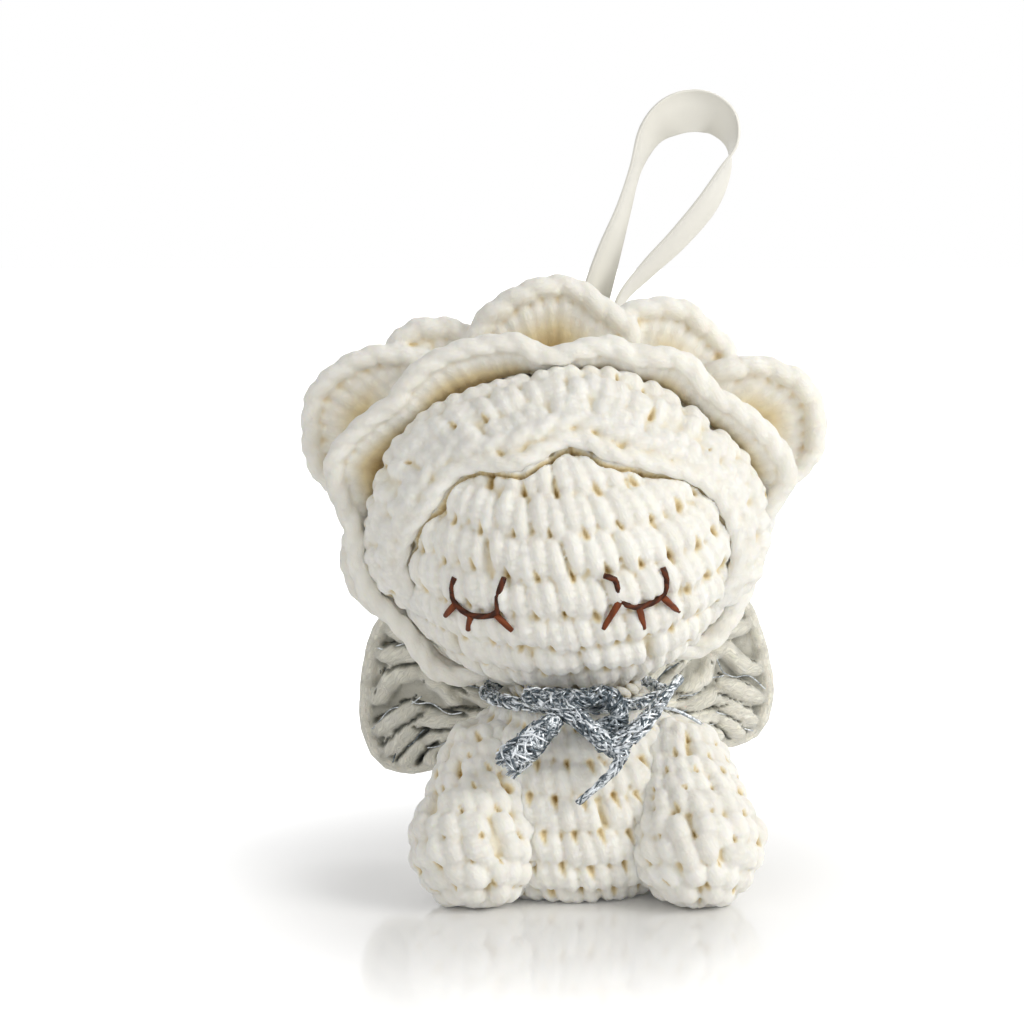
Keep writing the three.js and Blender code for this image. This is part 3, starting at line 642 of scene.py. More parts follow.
def spread(mesh, values, passes):
    """Values at a mesh's points, evened out along its edges."""
    edges = np.empty(len(mesh.edges) * 2, np.int32)
    mesh.edges.foreach_get("vertices", edges)
    one, other = edges.reshape(-1, 2).T
    count = len(mesh.vertices)
    ties = np.maximum(np.bincount(one, minlength=count) + np.bincount(other, minlength=count), 1)
    for _ in range(passes):
        sums = [
            np.bincount(one, column[other], count) + np.bincount(other, column[one], count)
            for column in values.T
        ]
        values = 0.5 * values + 0.5 * np.column_stack(sums) / ties[:, None]
    return values


def hollows(mesh):
    """How far each point lies sunk between stitches, which is the share of painted shade it gets, from 0 on a
    crest to 0.8.
    """
    points = vertex_values(mesh, "co") / MM
    sunk = spread(mesh, points, HOLLOW_PASSES) - points
    depth = (sunk * vertex_values(mesh, "normal")).sum(axis=1)
    return 0.8 * smooth(spread(mesh, depth[:, None], 1)[:, 0], *HOLLOW_DEPTHS)


# Surfaces: each takes shares round and along it and a lift in millimetres, and gives points
def poles(pole, front):
    """A pole, and the directions to the front and the right that are square to it."""
    pole = unit(np.array(pole, float))
    front = np.array(front, float)
    front = unit(front - pole * (front @ pole))
    return pole, front, np.cross(front, pole)


def rays(u, fall, pole, front, right):
    """Directions at shares of a turn round a pole and angles from it."""
    turn, fall = 2 * np.pi * u[..., None], fall[..., None]
    return np.cos(fall) * pole + np.sin(fall) * (np.cos(turn) * front + np.sin(turn) * right)


def turned(profile, origin, axis, front):
    """A shape turned about an axis. Its profile is (radius, height) rows from its first pole."""
    axis, front, right = poles(axis, front)
    curve = even(np.array(profile, float), 240)
    slope = unit(np.gradient(curve, axis=0))
    outward = np.column_stack([slope[:, 1], -slope[:, 0]])
    outward *= np.sign(outward[np.argmax(curve[:, 0]), 0])

    def surface(u, v, lift):
        place = sample(curve, v) + lift[..., None] * sample(outward, v)
        angle = 2 * np.pi * u[..., None]
        arm = np.cos(angle) * front + np.sin(angle) * right
        return np.array(origin) + place[..., 1:] * axis + place[..., :1] * arm

    surface.length = lengths_along(curve)[-1]
    surface.girth = lambda v: 2 * np.pi * np.interp(v, np.linspace(0, 1, len(curve)), curve[:, 0])
    return surface


def head_shape(sizes, pole, front, grow=0.0):
    """The head's ellipsoid with its rounds about a pole."""
    half = head_half(sizes) + grow
    axes = poles(pole, front)

    def surface(u, v, lift):
        ray = rays(u, np.pi * v, *axes)
        return HEAD_CENTRE + half * ray + lift[..., None] * unit(ray / half)

    surface.length = np.pi * half.mean()
    surface.girth = lambda v: 2 * np.pi * half.mean() * np.sin(np.pi * v)
    return surface


def leg_shape(foot, foot_radius, hip, hip_radius, pole, front):
    """A round cone between two balls, with its rounds about a pole at the sole."""
    share = np.linspace(0, 1, 14)[:, None]
    balls = foot + (hip - foot) * share
    radii = (foot_radius + (hip_radius - foot_radius) * share)[:, 0]
    origin = foot + (hip - foot) * 0.35
    axes = poles(pole, front)
    offset = origin - balls

    def cast(u, fall):
        ray = rays(u, fall, *axes)
        along = ray @ offset.T
        space = along**2 - (offset**2).sum(axis=1) + radii**2
        reach = np.where(space > 0, np.sqrt(np.maximum(space, 0)) - along, 0)
        point = origin + ray * reach.max(axis=-1)[..., None]
        return point, unit(point - balls[reach.argmax(axis=-1)])

    falls = np.linspace(0, np.pi, 60)
    turns = np.arange(12) / 12
    grid = np.array([cast(turns, np.full(12, fall))[0] for fall in falls])
    run = np.concatenate([[0], np.cumsum(np.linalg.norm(np.diff(grid, axis=0), axis=2).mean(axis=1))])
    loops = np.linalg.norm(grid - np.roll(grid, 1, axis=1), axis=2).sum(axis=1)

    def surface(u, v, lift):
        point, outward = cast(u, np.interp(v, run / run[-1], falls))
        return point + lift[..., None] * outward

    surface.length = run[-1]
    surface.girth = lambda v: np.interp(v, run / run[-1], loops)
    return surface


def head_reach(sizes, angle, depth, grow):
    """The distance from the face axis to the grown head's skin, at an angle round it and a depth."""
    half_width, half_depth, half_height = (side + grow for side in head_half(sizes))
    across, up = np.cos(angle) / half_width, np.sin(angle) / half_height
    return np.sqrt(np.clip(1 - (depth / half_depth) ** 2, 0.02, 1)) / np.hypot(across, up)


def lifted(sheet, turn=1):
    """A surface from a sheet of points, lifted along its own face. A turn of -1 lifts it the other way."""
    step = 1e-3

    def surface(u, v, lift):
        across = sheet(u + step, v) - sheet(u - step, v)
        down = sheet(u, v + step) - sheet(u, v - step)
        return sheet(u, v) + turn * lift[..., None] * unit(np.cross(across, down))

    return surface


def bare(sheet):
    """A surface from a sheet of points that isn't lifted."""
    return lambda u, v, lift: sheet(u, v)


def rim_of(sheet, line, inner):
    """A sheet's outer edge, and the directions to it from an inner share of the way along the sheet."""
    edge = sheet(line, np.ones_like(line))
    return edge, unit(edge - sheet(line, np.full_like(line, inner)))


# Stitch patterns
def rounds(surface, pitch, width, start=0.0, stop=1.0):
    """Rounds of stitches on a surface, as (top, bottom, stitches, turn)."""
    count = max(1, round((stop - start) * surface.length / pitch))
    edges = np.linspace(start, stop, count + 1)
    rows = []
    for i, (top, bottom) in enumerate(zip(edges[:-1], edges[1:])):
        stitches = max(6, round(float(surface.girth((top + bottom) / 2)) / width))
        rows.append((top, bottom, stitches, ROUND_SHIFT * i))
    return rows


def v_stitches(
    surface, rows, rng, lean, plump=1.0, flip=False, keep=None, pits=None, relief=1.0, loose=0.06
):
    """Single crochet: a stitch is two plump legs that close at its foot, where a hole, a pit, is left."""
    t = stitch()["rings"]
    closed = hasattr(surface, "girth")
    groups = []
    for top, bottom, count, turn in rows:
        step = 1 / count
        middle = (np.arange(count) + 0.5 + (turn if closed else 0) + rng.normal(0, 0.05, count)) * step
        radius = 0.0
        for side in (-1, 1):
            wobble = rng.normal(0, loose, (count, 3))
            # The legs draw together a little, and reach from the row above into the row below
            legs = side * (0.255 - 0.02 * t) + lean * (t - 0.5)
            u = middle[:, None] + (legs[None, :] + wobble[:, :1]) * step
            v = along_row(top, bottom, -0.1 + 1.22 * t + wobble[:, 1:2], flip, closed)
            flat = np.zeros_like(u)
            u_middle, v_middle = (share[:, MIDDLE_RING:MIDDLE_RING + 1] for share in (u, v))
            near = surface(u_middle + 0.25 * step, v_middle, flat[:, :1])
            far = surface(u_middle - 0.25 * step, v_middle, flat[:, :1])
            radius = np.minimum(0.53 * np.linalg.norm(near - far, axis=-1) * plump, FATTEST_LEG)
            rise = relief * np.interp(t, *LEG_RISE)
            lift = radius * (rise[None, :] + wobble[:, 2:] - 0.5)
            lines = surface(u, v, lift)
            ups = surface(u, v, lift + 0.2) - lines
            taper = np.interp(t, *LEG_TAPER)
            tones = rng.uniform(0, 1, count)
            kept = np.ones(count, bool) if keep is None else keep(lines[:, MIDDLE_RING])
            if kept.any():
                groups.append((lines[kept], (radius * taper[None, :])[kept], ups[kept], tones[kept]))
        if pits is not None:
            u = middle + (0.45 * lean + rng.normal(0, 0.04, count)) * step
            v = along_row(top, bottom, 0.95 + rng.normal(0, 0.04, count), flip, closed)
            higher = along_row(top, bottom, np.full(count, 0.45), flip, closed)
            flat = np.zeros(count)
            foot = surface(u, v, flat - 0.6 * radius[:, 0])
            outward = unit(surface(u, v, flat + 0.5) - surface(u, v, flat))
            along = unit(surface(u - 0.5 * lean * step, higher, flat) - surface(u, v, flat))
            kept = np.ones(count, bool) if keep is None else keep(foot)
            pits += list(zip(foot[kept], outward[kept], along[kept], rng.uniform(0.6, 1.2, count)[kept]))
    return groups


def along_row(top, bottom, share, flip, closed):
    """Places along a surface at shares of a row's height. A flipped row runs from its bottom to its top."""
    v = bottom - share * (bottom - top) if flip else top + share * (bottom - top)
    return np.clip(v, 0.002, 0.998) if closed else v


def posts(surface, count, rng, start, stop, radius, lean=0.0):
    """Tall stitches that run straight up a sheet, side by side."""
    t = stitch()["rings"]
    at = (np.arange(count) + 0.5) / count
    wobble = rng.normal(0, 0.08, (count, 2)) / count
    u = at[:, None] + wobble[:, :1] + lean * (t - 0.5)[None, :] / count
    v = np.broadcast_to(start + (stop - start) * t, u.shape)
    lift = np.zeros_like(u)
    lines = surface(u, v, lift)
    ups = surface(u, v, lift + 0.2) - lines
    radii = radius * (1 + rng.normal(0, 0.05, count))[:, None] * np.interp(t, *POST_TAPER)
    return [(lines, radii, ups, rng.uniform(0, 1, count))]


def rope(edge, outward, rng, pitch, span, radius, slant):
    """Slanting loops that roll over an edge, one after the other."""
    t = stitch()["rings"]
    edge = even(edge, 200)
    outward = unit(even(outward, 200))
    total = lengths_along(edge)[-1]
    count = max(2, round(total / pitch))
    at = ((np.arange(count) + 0.5) / count)[:, None] + (t - 0.5)[None, :] * span * math.cos(slant) / total
    tangents = unit(np.gradient(edge, axis=0))
    lines, outs, along = sample(edge, at), unit(sample(outward, at)), unit(sample(tangents, at))
    across = np.cross(along, outs)
    wobble = 1 + rng.normal(0, 0.06, (count, 1))
    lines = lines + across * ((t - 0.5) * span * math.sin(slant))[None, :, None]
    lines = lines + outs * (radius * (0.5 - 2.6 * (t - 0.5) ** 2))[None, :, None]
    radii = radius * wobble * np.interp(t, *ROPE_TAPER)[None, :]
    return [(lines, radii, outs, rng.uniform(0, 1, count))]


def tinsel(path, rng, radius, strand, per_mm, span=1.3, skew=0.9, shine=1.0):
    """Metallic chain stitch: short strands that crowd round a path, within a radius or a row of radii."""
    t = stitch()["rings"]
    path = even(np.array(path, float), 120)
    total = lengths_along(path)[-1]
    count = max(6, round(total * per_mm))
    tangents = unit(np.gradient(path, axis=0))
    side = unit(np.cross(tangents, [0.31, -0.2, 0.93]))
    other = np.cross(tangents, side)
    at = ((np.arange(count) + rng.uniform(0, 1, count)) / count)[:, None]
    at = at + (t - 0.5)[None, :] * span / total
    turn = rng.uniform(0, 2 * np.pi, count)[:, None]
    turn = turn + skew * rng.normal(0, 1, (count, 1)) * (t - 0.5)[None, :]
    arm = np.cos(turn)[..., None] * sample(side, at) + np.sin(turn)[..., None] * sample(other, at)
    radius = np.atleast_1d(radius)
    far = np.interp(at[:, MIDDLE_RING], np.linspace(0, 1, len(radius)), radius)
    lines = sample(path, at) + arm * (far * rng.uniform(0.55, 1.0, count))[:, None, None]
    radii = strand * rng.uniform(0.8, 1.2, (count, 1)) * np.interp(t, *TINSEL_TAPER)[None, :]
    # Random tones up to a limit, which paints shade on strands that lie in shadow
    return [(lines, radii, unit(arm), rng.uniform(0, shine, count))]


def thread(path, radius, tones=0.5, up=(0.0, -1.0, 0.2)):
    """One smooth strand along a path, in overlapping lengths. A pair of radii lets it taper."""
    t = stitch()["rings"]
    path = even(np.array(path, float), 120)
    total = lengths_along(path)[-1]
    count = max(1, round(total / (THREAD_LENGTH * np.max(radius))))
    centre = (np.arange(count) + 0.5) / count
    at = centre[:, None] + (t - 0.5)[None, :] * THREAD_OVERLAP / count
    lines = sample(path, at)
    over = np.clip(at, 0, 1) != at
    lines[over] = np.where(at[over][:, None] < 0.5, path[0], path[-1])
    tangents = unit(np.gradient(path, axis=0))
    lines = lines + 1e-3 * t[None, :, None] * sample(tangents, at)
    radii = np.interp(at, [0, 1], np.broadcast_to(radius, 2)) * np.interp(t, *THREAD_TAPER)
    ups = np.broadcast_to(np.array(up), lines.shape)
    return [(lines, radii, ups, np.full(count, tones))]


# Mane lines round the face axis, as (angle in degrees from the viewer's right, distance or depth)
FRINGE_ARC = (-36, 216)
FRINGE_HEM = (
    (-40, -5.5), (-20, -7.0), (0, -9.0), (14, -10.6), (23, -12.1), (36, -14.8), (50, -16.3), (66, -17.0),
    (77, -16.5), (88, -16.3), (95, -16.6), (104, -17.2), (117, -17.6), (127, -17.1), (135, -15.9),
    (146, -14.5), (163, -13.9), (177, -11.9), (192, -9.5), (205, -7.5), (220, -5.5),
)
MIDDLE_ARC = (-50, 246)
MIDDLE_CREST = (
    (-56, 24.5), (-30, 25.2), (-8, 26.0), (7, 27.6), (14, 30.7), (21, 30.8), (29, 29.9), (39, 28.2),
    (43, 27.5), (48, 27.7), (57, 28.3), (65, 27.0), (70, 26.3), (77, 26.6), (87, 25.4), (92, 24.6),
    (98, 25.0), (103, 26.8), (116, 28.4), (127, 29.5), (136, 29.3), (141, 28.8), (147, 30.0), (157, 31.9),
    (162, 32.4), (168, 31.2), (178, 28.6), (188, 28.4), (198, 27.6), (205, 26.2), (215, 25.3), (225, 25.9),
    (231, 25.3), (236, 24.0), (241, 22.4), (250, 20.6),
)
PETALS = {
    "left": (
        (127, 28.6), (130, 30.2), (133, 32.4), (136, 34.2), (140, 35.8), (145.5, 37.3), (150, 38.1),
        (154, 38.0), (159, 36.9), (165, 35.2), (169, 32.9), (171, 30.2),
    ),
    "upper_left": (
        (139, 30.5), (135, 33.0), (129, 34.0), (123.6, 32.8), (119.5, 31.3), (115.8, 29.0), (113, 27.2),
    ),
    "top": (
        (117, 27.6), (115, 28.9), (111.4, 30.0), (107.8, 31.1), (102.2, 32.2), (97.3, 32.9), (92.8, 33.3),
        (88.4, 33.0), (84.4, 31.9), (79.2, 30.3), (73.7, 29.3), (70.5, 27.4),
    ),
    "top_right": (
        (77, 27.6), (75.3, 29.8), (71.5, 31.3), (67.2, 32.6), (62.7, 33.6), (58.7, 33.7), (53.6, 33.2),
        (49.3, 33.1), (46.5, 32.5), (44.9, 31.3), (43.2, 29.2),
    ),
    "right": (
        (46, 29.2), (43, 32.2), (40, 34.6), (36, 36.0), (33, 37.2), (29, 37.9), (25, 37.6), (21, 36.7),
        (18, 36.0), (15.4, 34.7), (13, 32.5), (10.5, 30.4), (9, 28.6),
    ),
    "low_left": (
        (208, 25.0), (206, 27.3), (201.6, 29.0), (195, 29.9), (187.4, 29.8), (181, 28.4), (176, 26.0),
    ),
    "lowest_left": ((241, 22.0), (236, 24.0), (230.4, 25.3), (225, 25.6), (219, 24.8), (213, 23.4)),
    "low_right": ((12, 25.6), (8, 27.0), (4, 27.0), (-2, 26.2), (-7, 24.6)),
    "lowest_right": ((-6, 24.2), (-11, 25.4), (-16, 25.2), (-22, 24.4), (-27, 22.8)),
}
# Petals that stand behind their neighbours, and how far
REAR_PETALS = ("upper_left", "top_right")
REAR_STEP = 1.6
# The cap's thickness over the head, its front edge and its hem, from the head's middle
CAP_GROWTH = 2.35
CAP_FRONT = 1.5
CAP_HEM = -8.0
MANE_SLOPE = math.tan(math.radians(15))


def mane_lean(angle):
    """The upper half of the mane leans forward over the brow."""
    return -MANE_SLOPE * HEAD_HALF_HEIGHT * np.maximum(0, np.sin(angle))


def round_face(angle, reach, depth):
    """A point at an angle and a distance round the face axis."""
    return HEAD_CENTRE + np.stack([reach * np.cos(angle), depth, reach * np.sin(angle)], axis=-1)


def fringe_sheet(sizes):
    def sheet(u, v):
        degrees = FRINGE_ARC[0] + (FRINGE_ARC[1] - FRINGE_ARC[0]) * u
        angle = np.radians(degrees)
        root = mane_lean(angle) - 1.0
        depth = root + (table(FRINGE_HEM, degrees) - root) * v
        full = smooth(u, 0.01, 0.12) * smooth(1 - u, 0.01, 0.12)
        ripple = 0.45 * np.sin(np.radians(degrees * 5.4 + 40))
        swell = 1.8 + np.interp(v, [0, 0.3, 0.65, 1], [1.2, 2.5, 2.1, 0.5])
        rise = -1.2 + full * (swell + ripple * (1 - v))
        return round_face(angle, head_reach(sizes, angle, depth, rise), depth)

    return sheet


def middle_sheet(sizes):
    def sheet(u, v):
        degrees = MIDDLE_ARC[0] + (MIDDLE_ARC[1] - MIDDLE_ARC[0]) * u
        angle = np.radians(degrees)
        forward = mane_lean(angle)
        base = head_reach(sizes, angle, forward + 1.0, np.full_like(angle, 1.6))
        crest = table(MIDDLE_CREST, degrees) - 1.0
        depth = forward + np.interp(v, [0, 0.4, 1], [0.3, -0.6, -2.6])
        reach = base + (crest - base) * np.interp(v, [0, 0.5, 1], [0, 0.6, 1])
        reach = reach - 2.5 * (1 - smooth(u, 0, 0.05) * smooth(1 - u, 0, 0.03))
        return round_face(angle, reach, depth)

    return sheet


def petal_sheet(sizes, rim, back):
    curve = even(curve_through(rim, 60), 120)
    middle = float(np.mean(curve[:, 0]))

    def sheet(u, v):
        edge = sample(curve, u)
        degrees, far = edge[..., 0], edge[..., 1] - 1.4
        root_angle = np.radians(middle + (degrees - middle) * 0.62)
        angle = root_angle + (np.radians(degrees) - root_angle) * np.sqrt(np.clip(v, 0, 1))
        root_depth = 10.0 + mane_lean(root_angle)
        base = head_reach(sizes, root_angle, root_depth, np.full_like(angle, 1.8))
        rim_depth = 6.8 + back + mane_lean(angle)
        depth = root_depth + (rim_depth - root_depth) * np.clip(v, 0, None) ** 0.9
        reach = base + (far - base) * v
        return round_face(angle, reach, depth)

    return sheet


# Operators
class CrochetOperator:
    bl_options = {"REGISTER", "UNDO"}

    def execute(self, context):
        self.build(context.scene.crochet_sizes, context.scene.crochet_colours)
        return {"FINISHED"}

    @staticmethod
    def rng(step):
        return np.random.default_rng(SEED + step)


class CROCHET_OT_stage(CrochetOperator, Operator):
    """Set the camera, the lamps and the pale floor"""

    bl_idname = "crochet.stage"
    bl_label = "Stage"

    CAMERA_TILT = 8
    CAMERA_AIM = (-8.3, 0, 49.7)
    # Name, place, side and power of each lamp, in metres and watts, and its colour
    LAMPS = (
        ("key_lamp", (0.46, -0.27, 0.31), 0.28, 1.9, "#FFFDF8"),
        ("fill_lamp", (-0.30, -0.45, 0.22), 0.35, 0.4, "#FFFDF8"),
        ("rim_lamp", (0.12, 0.42, 0.36), 0.30, 0.8, "#FFFFFF"),
    )
    LAMP_AIM = (0, 0, 0.045)

    def build(self, sizes, colours):
        scene = bpy.context.scene
        scene.view_settings.view_transform = "Standard"
        tilt = math.radians(self.CAMERA_TILT)
        ahead = Vector((0, math.cos(tilt), -math.sin(tilt)))
        bpy.ops.object.camera_add(
            location=Vector(self.CAMERA_AIM) * MM - ahead * sizes.camera_distance,
            rotation=(math.pi / 2 - tilt, 0, 0),
        )
        camera = bpy.context.object
        camera.data.lens = 100
        camera.data.sensor_width = 36
        scene.camera = camera
        for lamp in self.LAMPS:
            self.lamp(*lamp)
        self.world(scene)
        self.floor(colours)

    def lamp(self, name, place, side, power, code):
        bpy.ops.object.light_add(type="AREA", location=place)
        lamp = bpy.context.object
        lamp.name = name
        lamp.data.size = side
        lamp.data.energy = power
        lamp.data.color = linear(code)
        aim = Vector(self.LAMP_AIM) - Vector(place)
        lamp.rotation_euler = aim.to_track_quat("-Z", "Y").to_euler()

    @staticmethod
    def world(scene):
        scene.world = scene.world or bpy.data.worlds.new("studio")
        scene.world.use_nodes = True
        tree = scene.world.node_tree
        path = node(tree, "ShaderNodeLightPath")
        most = {"operation": "MAXIMUM"}
        seen = node(
            tree, "ShaderNodeMath", most, links={0: (path, "Is Camera Ray"), 1: (path, "Is Glossy Ray")}
        )
        shown = node(tree, "ShaderNodeMath", most, links={0: (seen, 0), 1: (path, "Is Transmission Ray")})
        level = node(tree, "ShaderNodeMapRange", None, {"To Min": 0.48, "To Max": 1}, {"Value": (shown, 0)})
        set_inputs(tree, tree.nodes["Background"], {"Color": (1, 1, 1, 1)}, {"Strength": (level, "Result")})

    @staticmethod
    def floor(colours):
        # A hair below the sole, so that the two don't share a plane
        bpy.ops.mesh.primitive_plane_add(size=3, location=(0, 0, -0.2 * MM))
        floor = bpy.context.object
        floor.name = "floor"
        floor.data.materials.append(named_material("pale_glossy_floor", lacquered_board, colours.floor))


class CROCHET_OT_ribbon(CrochetOperator, Operator):
    """Loop the satin ribbon through the bar of stitches on the crown"""

    bl_idname = "crochet.ribbon"
    bl_label = "Ribbon loop"

    # The CAD route from the bar: sideways, up, and the turn of its width in degrees
    ROUTE = (
        (-1.2, 1.0, 0), (-1.0, 4.0, -20), (-0.8, 7.3, -38), (0.8, 12.9, -33), (2.8, 18.9, -20),
        (4.4, 24.3, -16), (6.4, 28.9, -36), (9.4, 31.3, -62), (12.7, 31.9, -68), (15.6, 30.6, -48),
        (17.1, 27.6, -12), (16.4, 24.3, 16), (14.0, 19.6, 31), (10.1, 14.9, 30), (6.1, 10.9, 24),
        (2.4, 6.5, 13), (1.2, 1.0, 0),
    )
    STEPS = 160
    # Millimetres of ribbon for one turn of its weave
    WEAVE = 6
    # A quarter of the section: a flat face that thickens into a woven selvedge, as (half widths, height)
    SECTION = ((-1, 0.1), (-0.985, 0.2), (-0.93, 0.2), (-0.9, 0.13), (-0.3, 0.12))
    # One stitch over the bar, in yarn widths
    ARCH = ((1.5, 0, -0.9), (1.25, 0.3, 0.6), (0, 0.4, 1.3), (-1.25, 0.3, 0.6), (-1.5, 0, -0.9))

    YARN = 0.62

    def build(self, sizes, colours):
        bar = middle_of("ribbon_anchor")
        route = even(curve_through(self.ROUTE, 400), self.STEPS)
        centre = bar + np.column_stack([route[:, 0], np.zeros(self.STEPS), route[:, 1]])
        tangent = unit(np.gradient(centre, axis=0))
        across = np.column_stack([-tangent[:, 2], np.zeros(self.STEPS), tangent[:, 0]])
        twist = np.radians(route[:, 2])[:, None]
        wide = np.cos(twist) * np.array([0, 1, 0]) + np.sin(twist) * across
        thick = np.cross(tangent, wide)
        half = sizes.ribbon_width / MM / 2
        ring = [*self.SECTION, *((-x, y) for x, y in reversed(self.SECTION))]
        ring = ring + [(x, -y) for x, y in reversed(ring)]
        points = np.stack([centre + wide * x * half + thick * y for x, y in ring], axis=1) * MM
        size = len(ring)
        faces = [
            (i * size + j, i * size + (j + 1) % size, (i + 1) * size + (j + 1) % size, (i + 1) * size + j)
            for i in range(self.STEPS - 1) for j in range(size)
        ]
        faces += [tuple(range(size))[::-1], tuple(range((self.STEPS - 1) * size, self.STEPS * size))]
        mesh = bpy.data.meshes.new("ribbon_loop_satin")
        mesh.from_pydata(points.reshape(-1, 3).tolist(), [], faces)
        layer = mesh.uv_layers.new(name="UVMap")
        run = lengths_along(centre)
        for loop in mesh.loops:
            i, j = divmod(loop.vertex_index, size)
            layer.data[loop.index].uv = (0.5 + ring[j][0] / 2, run[i] / self.WEAVE)
        mesh.polygons.foreach_set("use_smooth", np.ones(len(mesh.polygons), bool))
        mesh.update()
        ivory = named_material("ivory_satin", satin, colours.ribbon)
        ribbon = piece("ribbon_loop_satin", mesh, ivory, "ribbon", "satin_ribbon", "ribbon_loop")
        choose(ribbon)
        face_outwards()
        self.anchor(bar, colours)

    def anchor(self, bar, colours):
        """The bar of stitches that holds the ribbon's feet."""
        rng = self.rng(1)
        bind = []
        for along in np.linspace(-2.6, 2.6, 4):
            arch = np.array(self.ARCH) + (0, along, 0)
            bind += thread(curve_through(bar + arch * self.YARN, 40), 0.55, 0.5, (0, 0.3, 1))
        lengthwise = [bar + np.array([0, y, 0.1]) for y in (-3.4, -1.2, 1.2, 3.4)]
        bind += thread(curve_through(lengthwise, 40), 0.8, rng.uniform(0.3, 0.7), (0, 0, 1))
        cream_piece("ribbon_anchor_stitches", bind, colours, "head", "ribbon_anchor")


class CROCHET_OT_head(CrochetOperator, Operator):
    """Crochet the head in rounds that tilt towards the face"""

    bl_idname = "crochet.head"
    bl_label = "Head"

    ROUNDS = 12

    def build(self, sizes, colours):
        tilt, side = math.radians(25), math.radians(-3)
        pole = (math.sin(side), -math.sin(tilt), math.cos(tilt))
        surface = head_shape(sizes, pole, (0, -1, 0))
        rows = rounds(surface, surface.length / self.ROUNDS, sizes.head_stitch / MM)

        def shown(points):
            local = points - HEAD_CENTRE
            return (local[:, 1] < 5) | (local[:, 2] < CAP_HEM + 4)

        pits = []
        lobes = v_stitches(surface, rows, self.rng(2), lean=-0.34, keep=shown, pits=pits)
        head = cream_piece("head_crochet", lobes, colours, "head", "head_cover", "head_stuffing")
        pits += self.shaded_groove_line(sizes)
        soften(join(head, under_cloth(surface, 64, 40, lift=-0.9)), voxel=0.3, passes=1, pits=pits)

    @staticmethod
    def shaded_groove_line(sizes):
        """A groove under the fringe's edge, as a row of pits, which are painted with shade."""
        line = np.linspace(0.08, 0.92, 110)
        below = fringe_sheet(sizes)(line, np.full_like(line, 1.09)) - HEAD_CENTRE
        half = head_half(sizes)
        place = below / np.linalg.norm(below / half, axis=1, keepdims=True)
        outward = unit(place / half**2)
        along = unit(np.gradient(place, axis=0))
        return list(zip(HEAD_CENTRE + place, outward, along, np.full_like(line, 0.75)))


class CROCHET_OT_body(CrochetOperator, Operator):
    """Crochet the pear-shaped body and the ring of stitches at its neck"""

    bl_idname = "crochet.body"
    bl_label = "Body"

    # The CAD's pear from its base to its neck, and the two poles, as (radius, height)
    OUTLINE = ((10.5, 0.0), (14.0, 2.4), (15.8, 8.5), (13.2, 20.0), (9.2, 25.6))
    CROWN = (0.01, 26.2)
    BASE = (0.01, 0.0)

    def build(self, sizes, colours):
        sides = curve_through(self.OUTLINE, 60)
        crown = np.linspace(self.OUTLINE[-1], self.CROWN, 8)[1:]
        base = np.linspace(self.BASE, self.OUTLINE[0], 8)[:-1]
        profile = np.vstack([base, sides, crown])[::-1]
        surface = turned(profile, (0, 0, 0), (0, 0, 1), (0, -1, 0))
        rows = rounds(surface, sizes.body_row / MM, sizes.body_stitch / MM, start=0.16, stop=0.985)
        rng = self.rng(3)
        pits = []
        lobes = v_stitches(surface, rows, rng, lean=0.4, flip=True, pits=pits)
        body = cream_piece("body_crochet", lobes, colours, "body", "body_cover", "body_stuffing")
        soften(join(body, under_cloth(surface, 48, 40, lift=-1.0)), voxel=0.33, passes=1, pits=pits)
        low, high = (np.array(corner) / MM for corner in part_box("neck_seam"))
        turn = np.linspace(0, 2 * np.pi, 80)
        radius, level = (high[0] - low[0]) / 2 - 0.6, (low[2] + high[2]) / 2
        ring, away = hoop(turn, radius, radius, level), hoop(turn, 1, 1, 0)
        seam = rope(ring, away, rng, pitch=2.2, span=3.4, radius=0.62, slant=0.5)
        cream_piece("neck_stitches", seam, colours, "body", "neck_seam")


class CROCHET_OT_legs(CrochetOperator, Operator):
    """Crochet both legs in rounds from the toe to the hip"""

    bl_idname = "crochet.legs"
    bl_label = "Legs"

    # Across from the body's axis to halfway between the legs, and the balls of a leg, out from there
    MIDDLE = 1.3
    FOOT, FOOT_RADIUS = (14.3, -11.0, 7.8), 8.3
    HIP, HIP_RADIUS = (12.2, -3.5, 16.8), 6.3
    SOLE, FRONT = (0, -0.45, -1), (0, -1, 0.2)

    def build(self, sizes, colours):
        for i, (name, side) in enumerate((("left", -1), ("right", 1))):
            foot, hip = (np.array([self.MIDDLE + side * x, y, z]) for x, y, z in (self.FOOT, self.HIP))
            surface = leg_shape(foot, self.FOOT_RADIUS, hip, self.HIP_RADIUS, self.SOLE, self.FRONT)
            rows = rounds(surface, pitch=3.1, width=4.5, stop=0.92)

            def outside(points):
                away = np.hypot(points[:, 0], points[:, 1])
                radii, heights = zip(*CROCHET_OT_body.OUTLINE)
                return away > np.interp(points[:, 2], heights, radii) - 1.2

            pits = []
            rng = self.rng(10 + i)
            look = {"lean": 0.3, "relief": 0.45, "loose": 0.1}
            lobes = v_stitches(surface, rows, rng, flip=True, keep=outside, pits=pits, **look)
            body = f"leg_{name}"
            leg = cream_piece(f"{body}_crochet", lobes, colours, body, f"{body}_cover", f"{body}_stuffing")
            join(leg, under_cloth(surface, 36, 30, lift=-0.9))
            soften(leg, voxel=0.33, passes=1, pits=pits, pit=(0.46, 0.4))
            self.flatten_sole(leg)

    @staticmethod
    def flatten_sole(leg):
        for vertex in leg.data.vertices:
            vertex.co.z = max(vertex.co.z, 0.0)


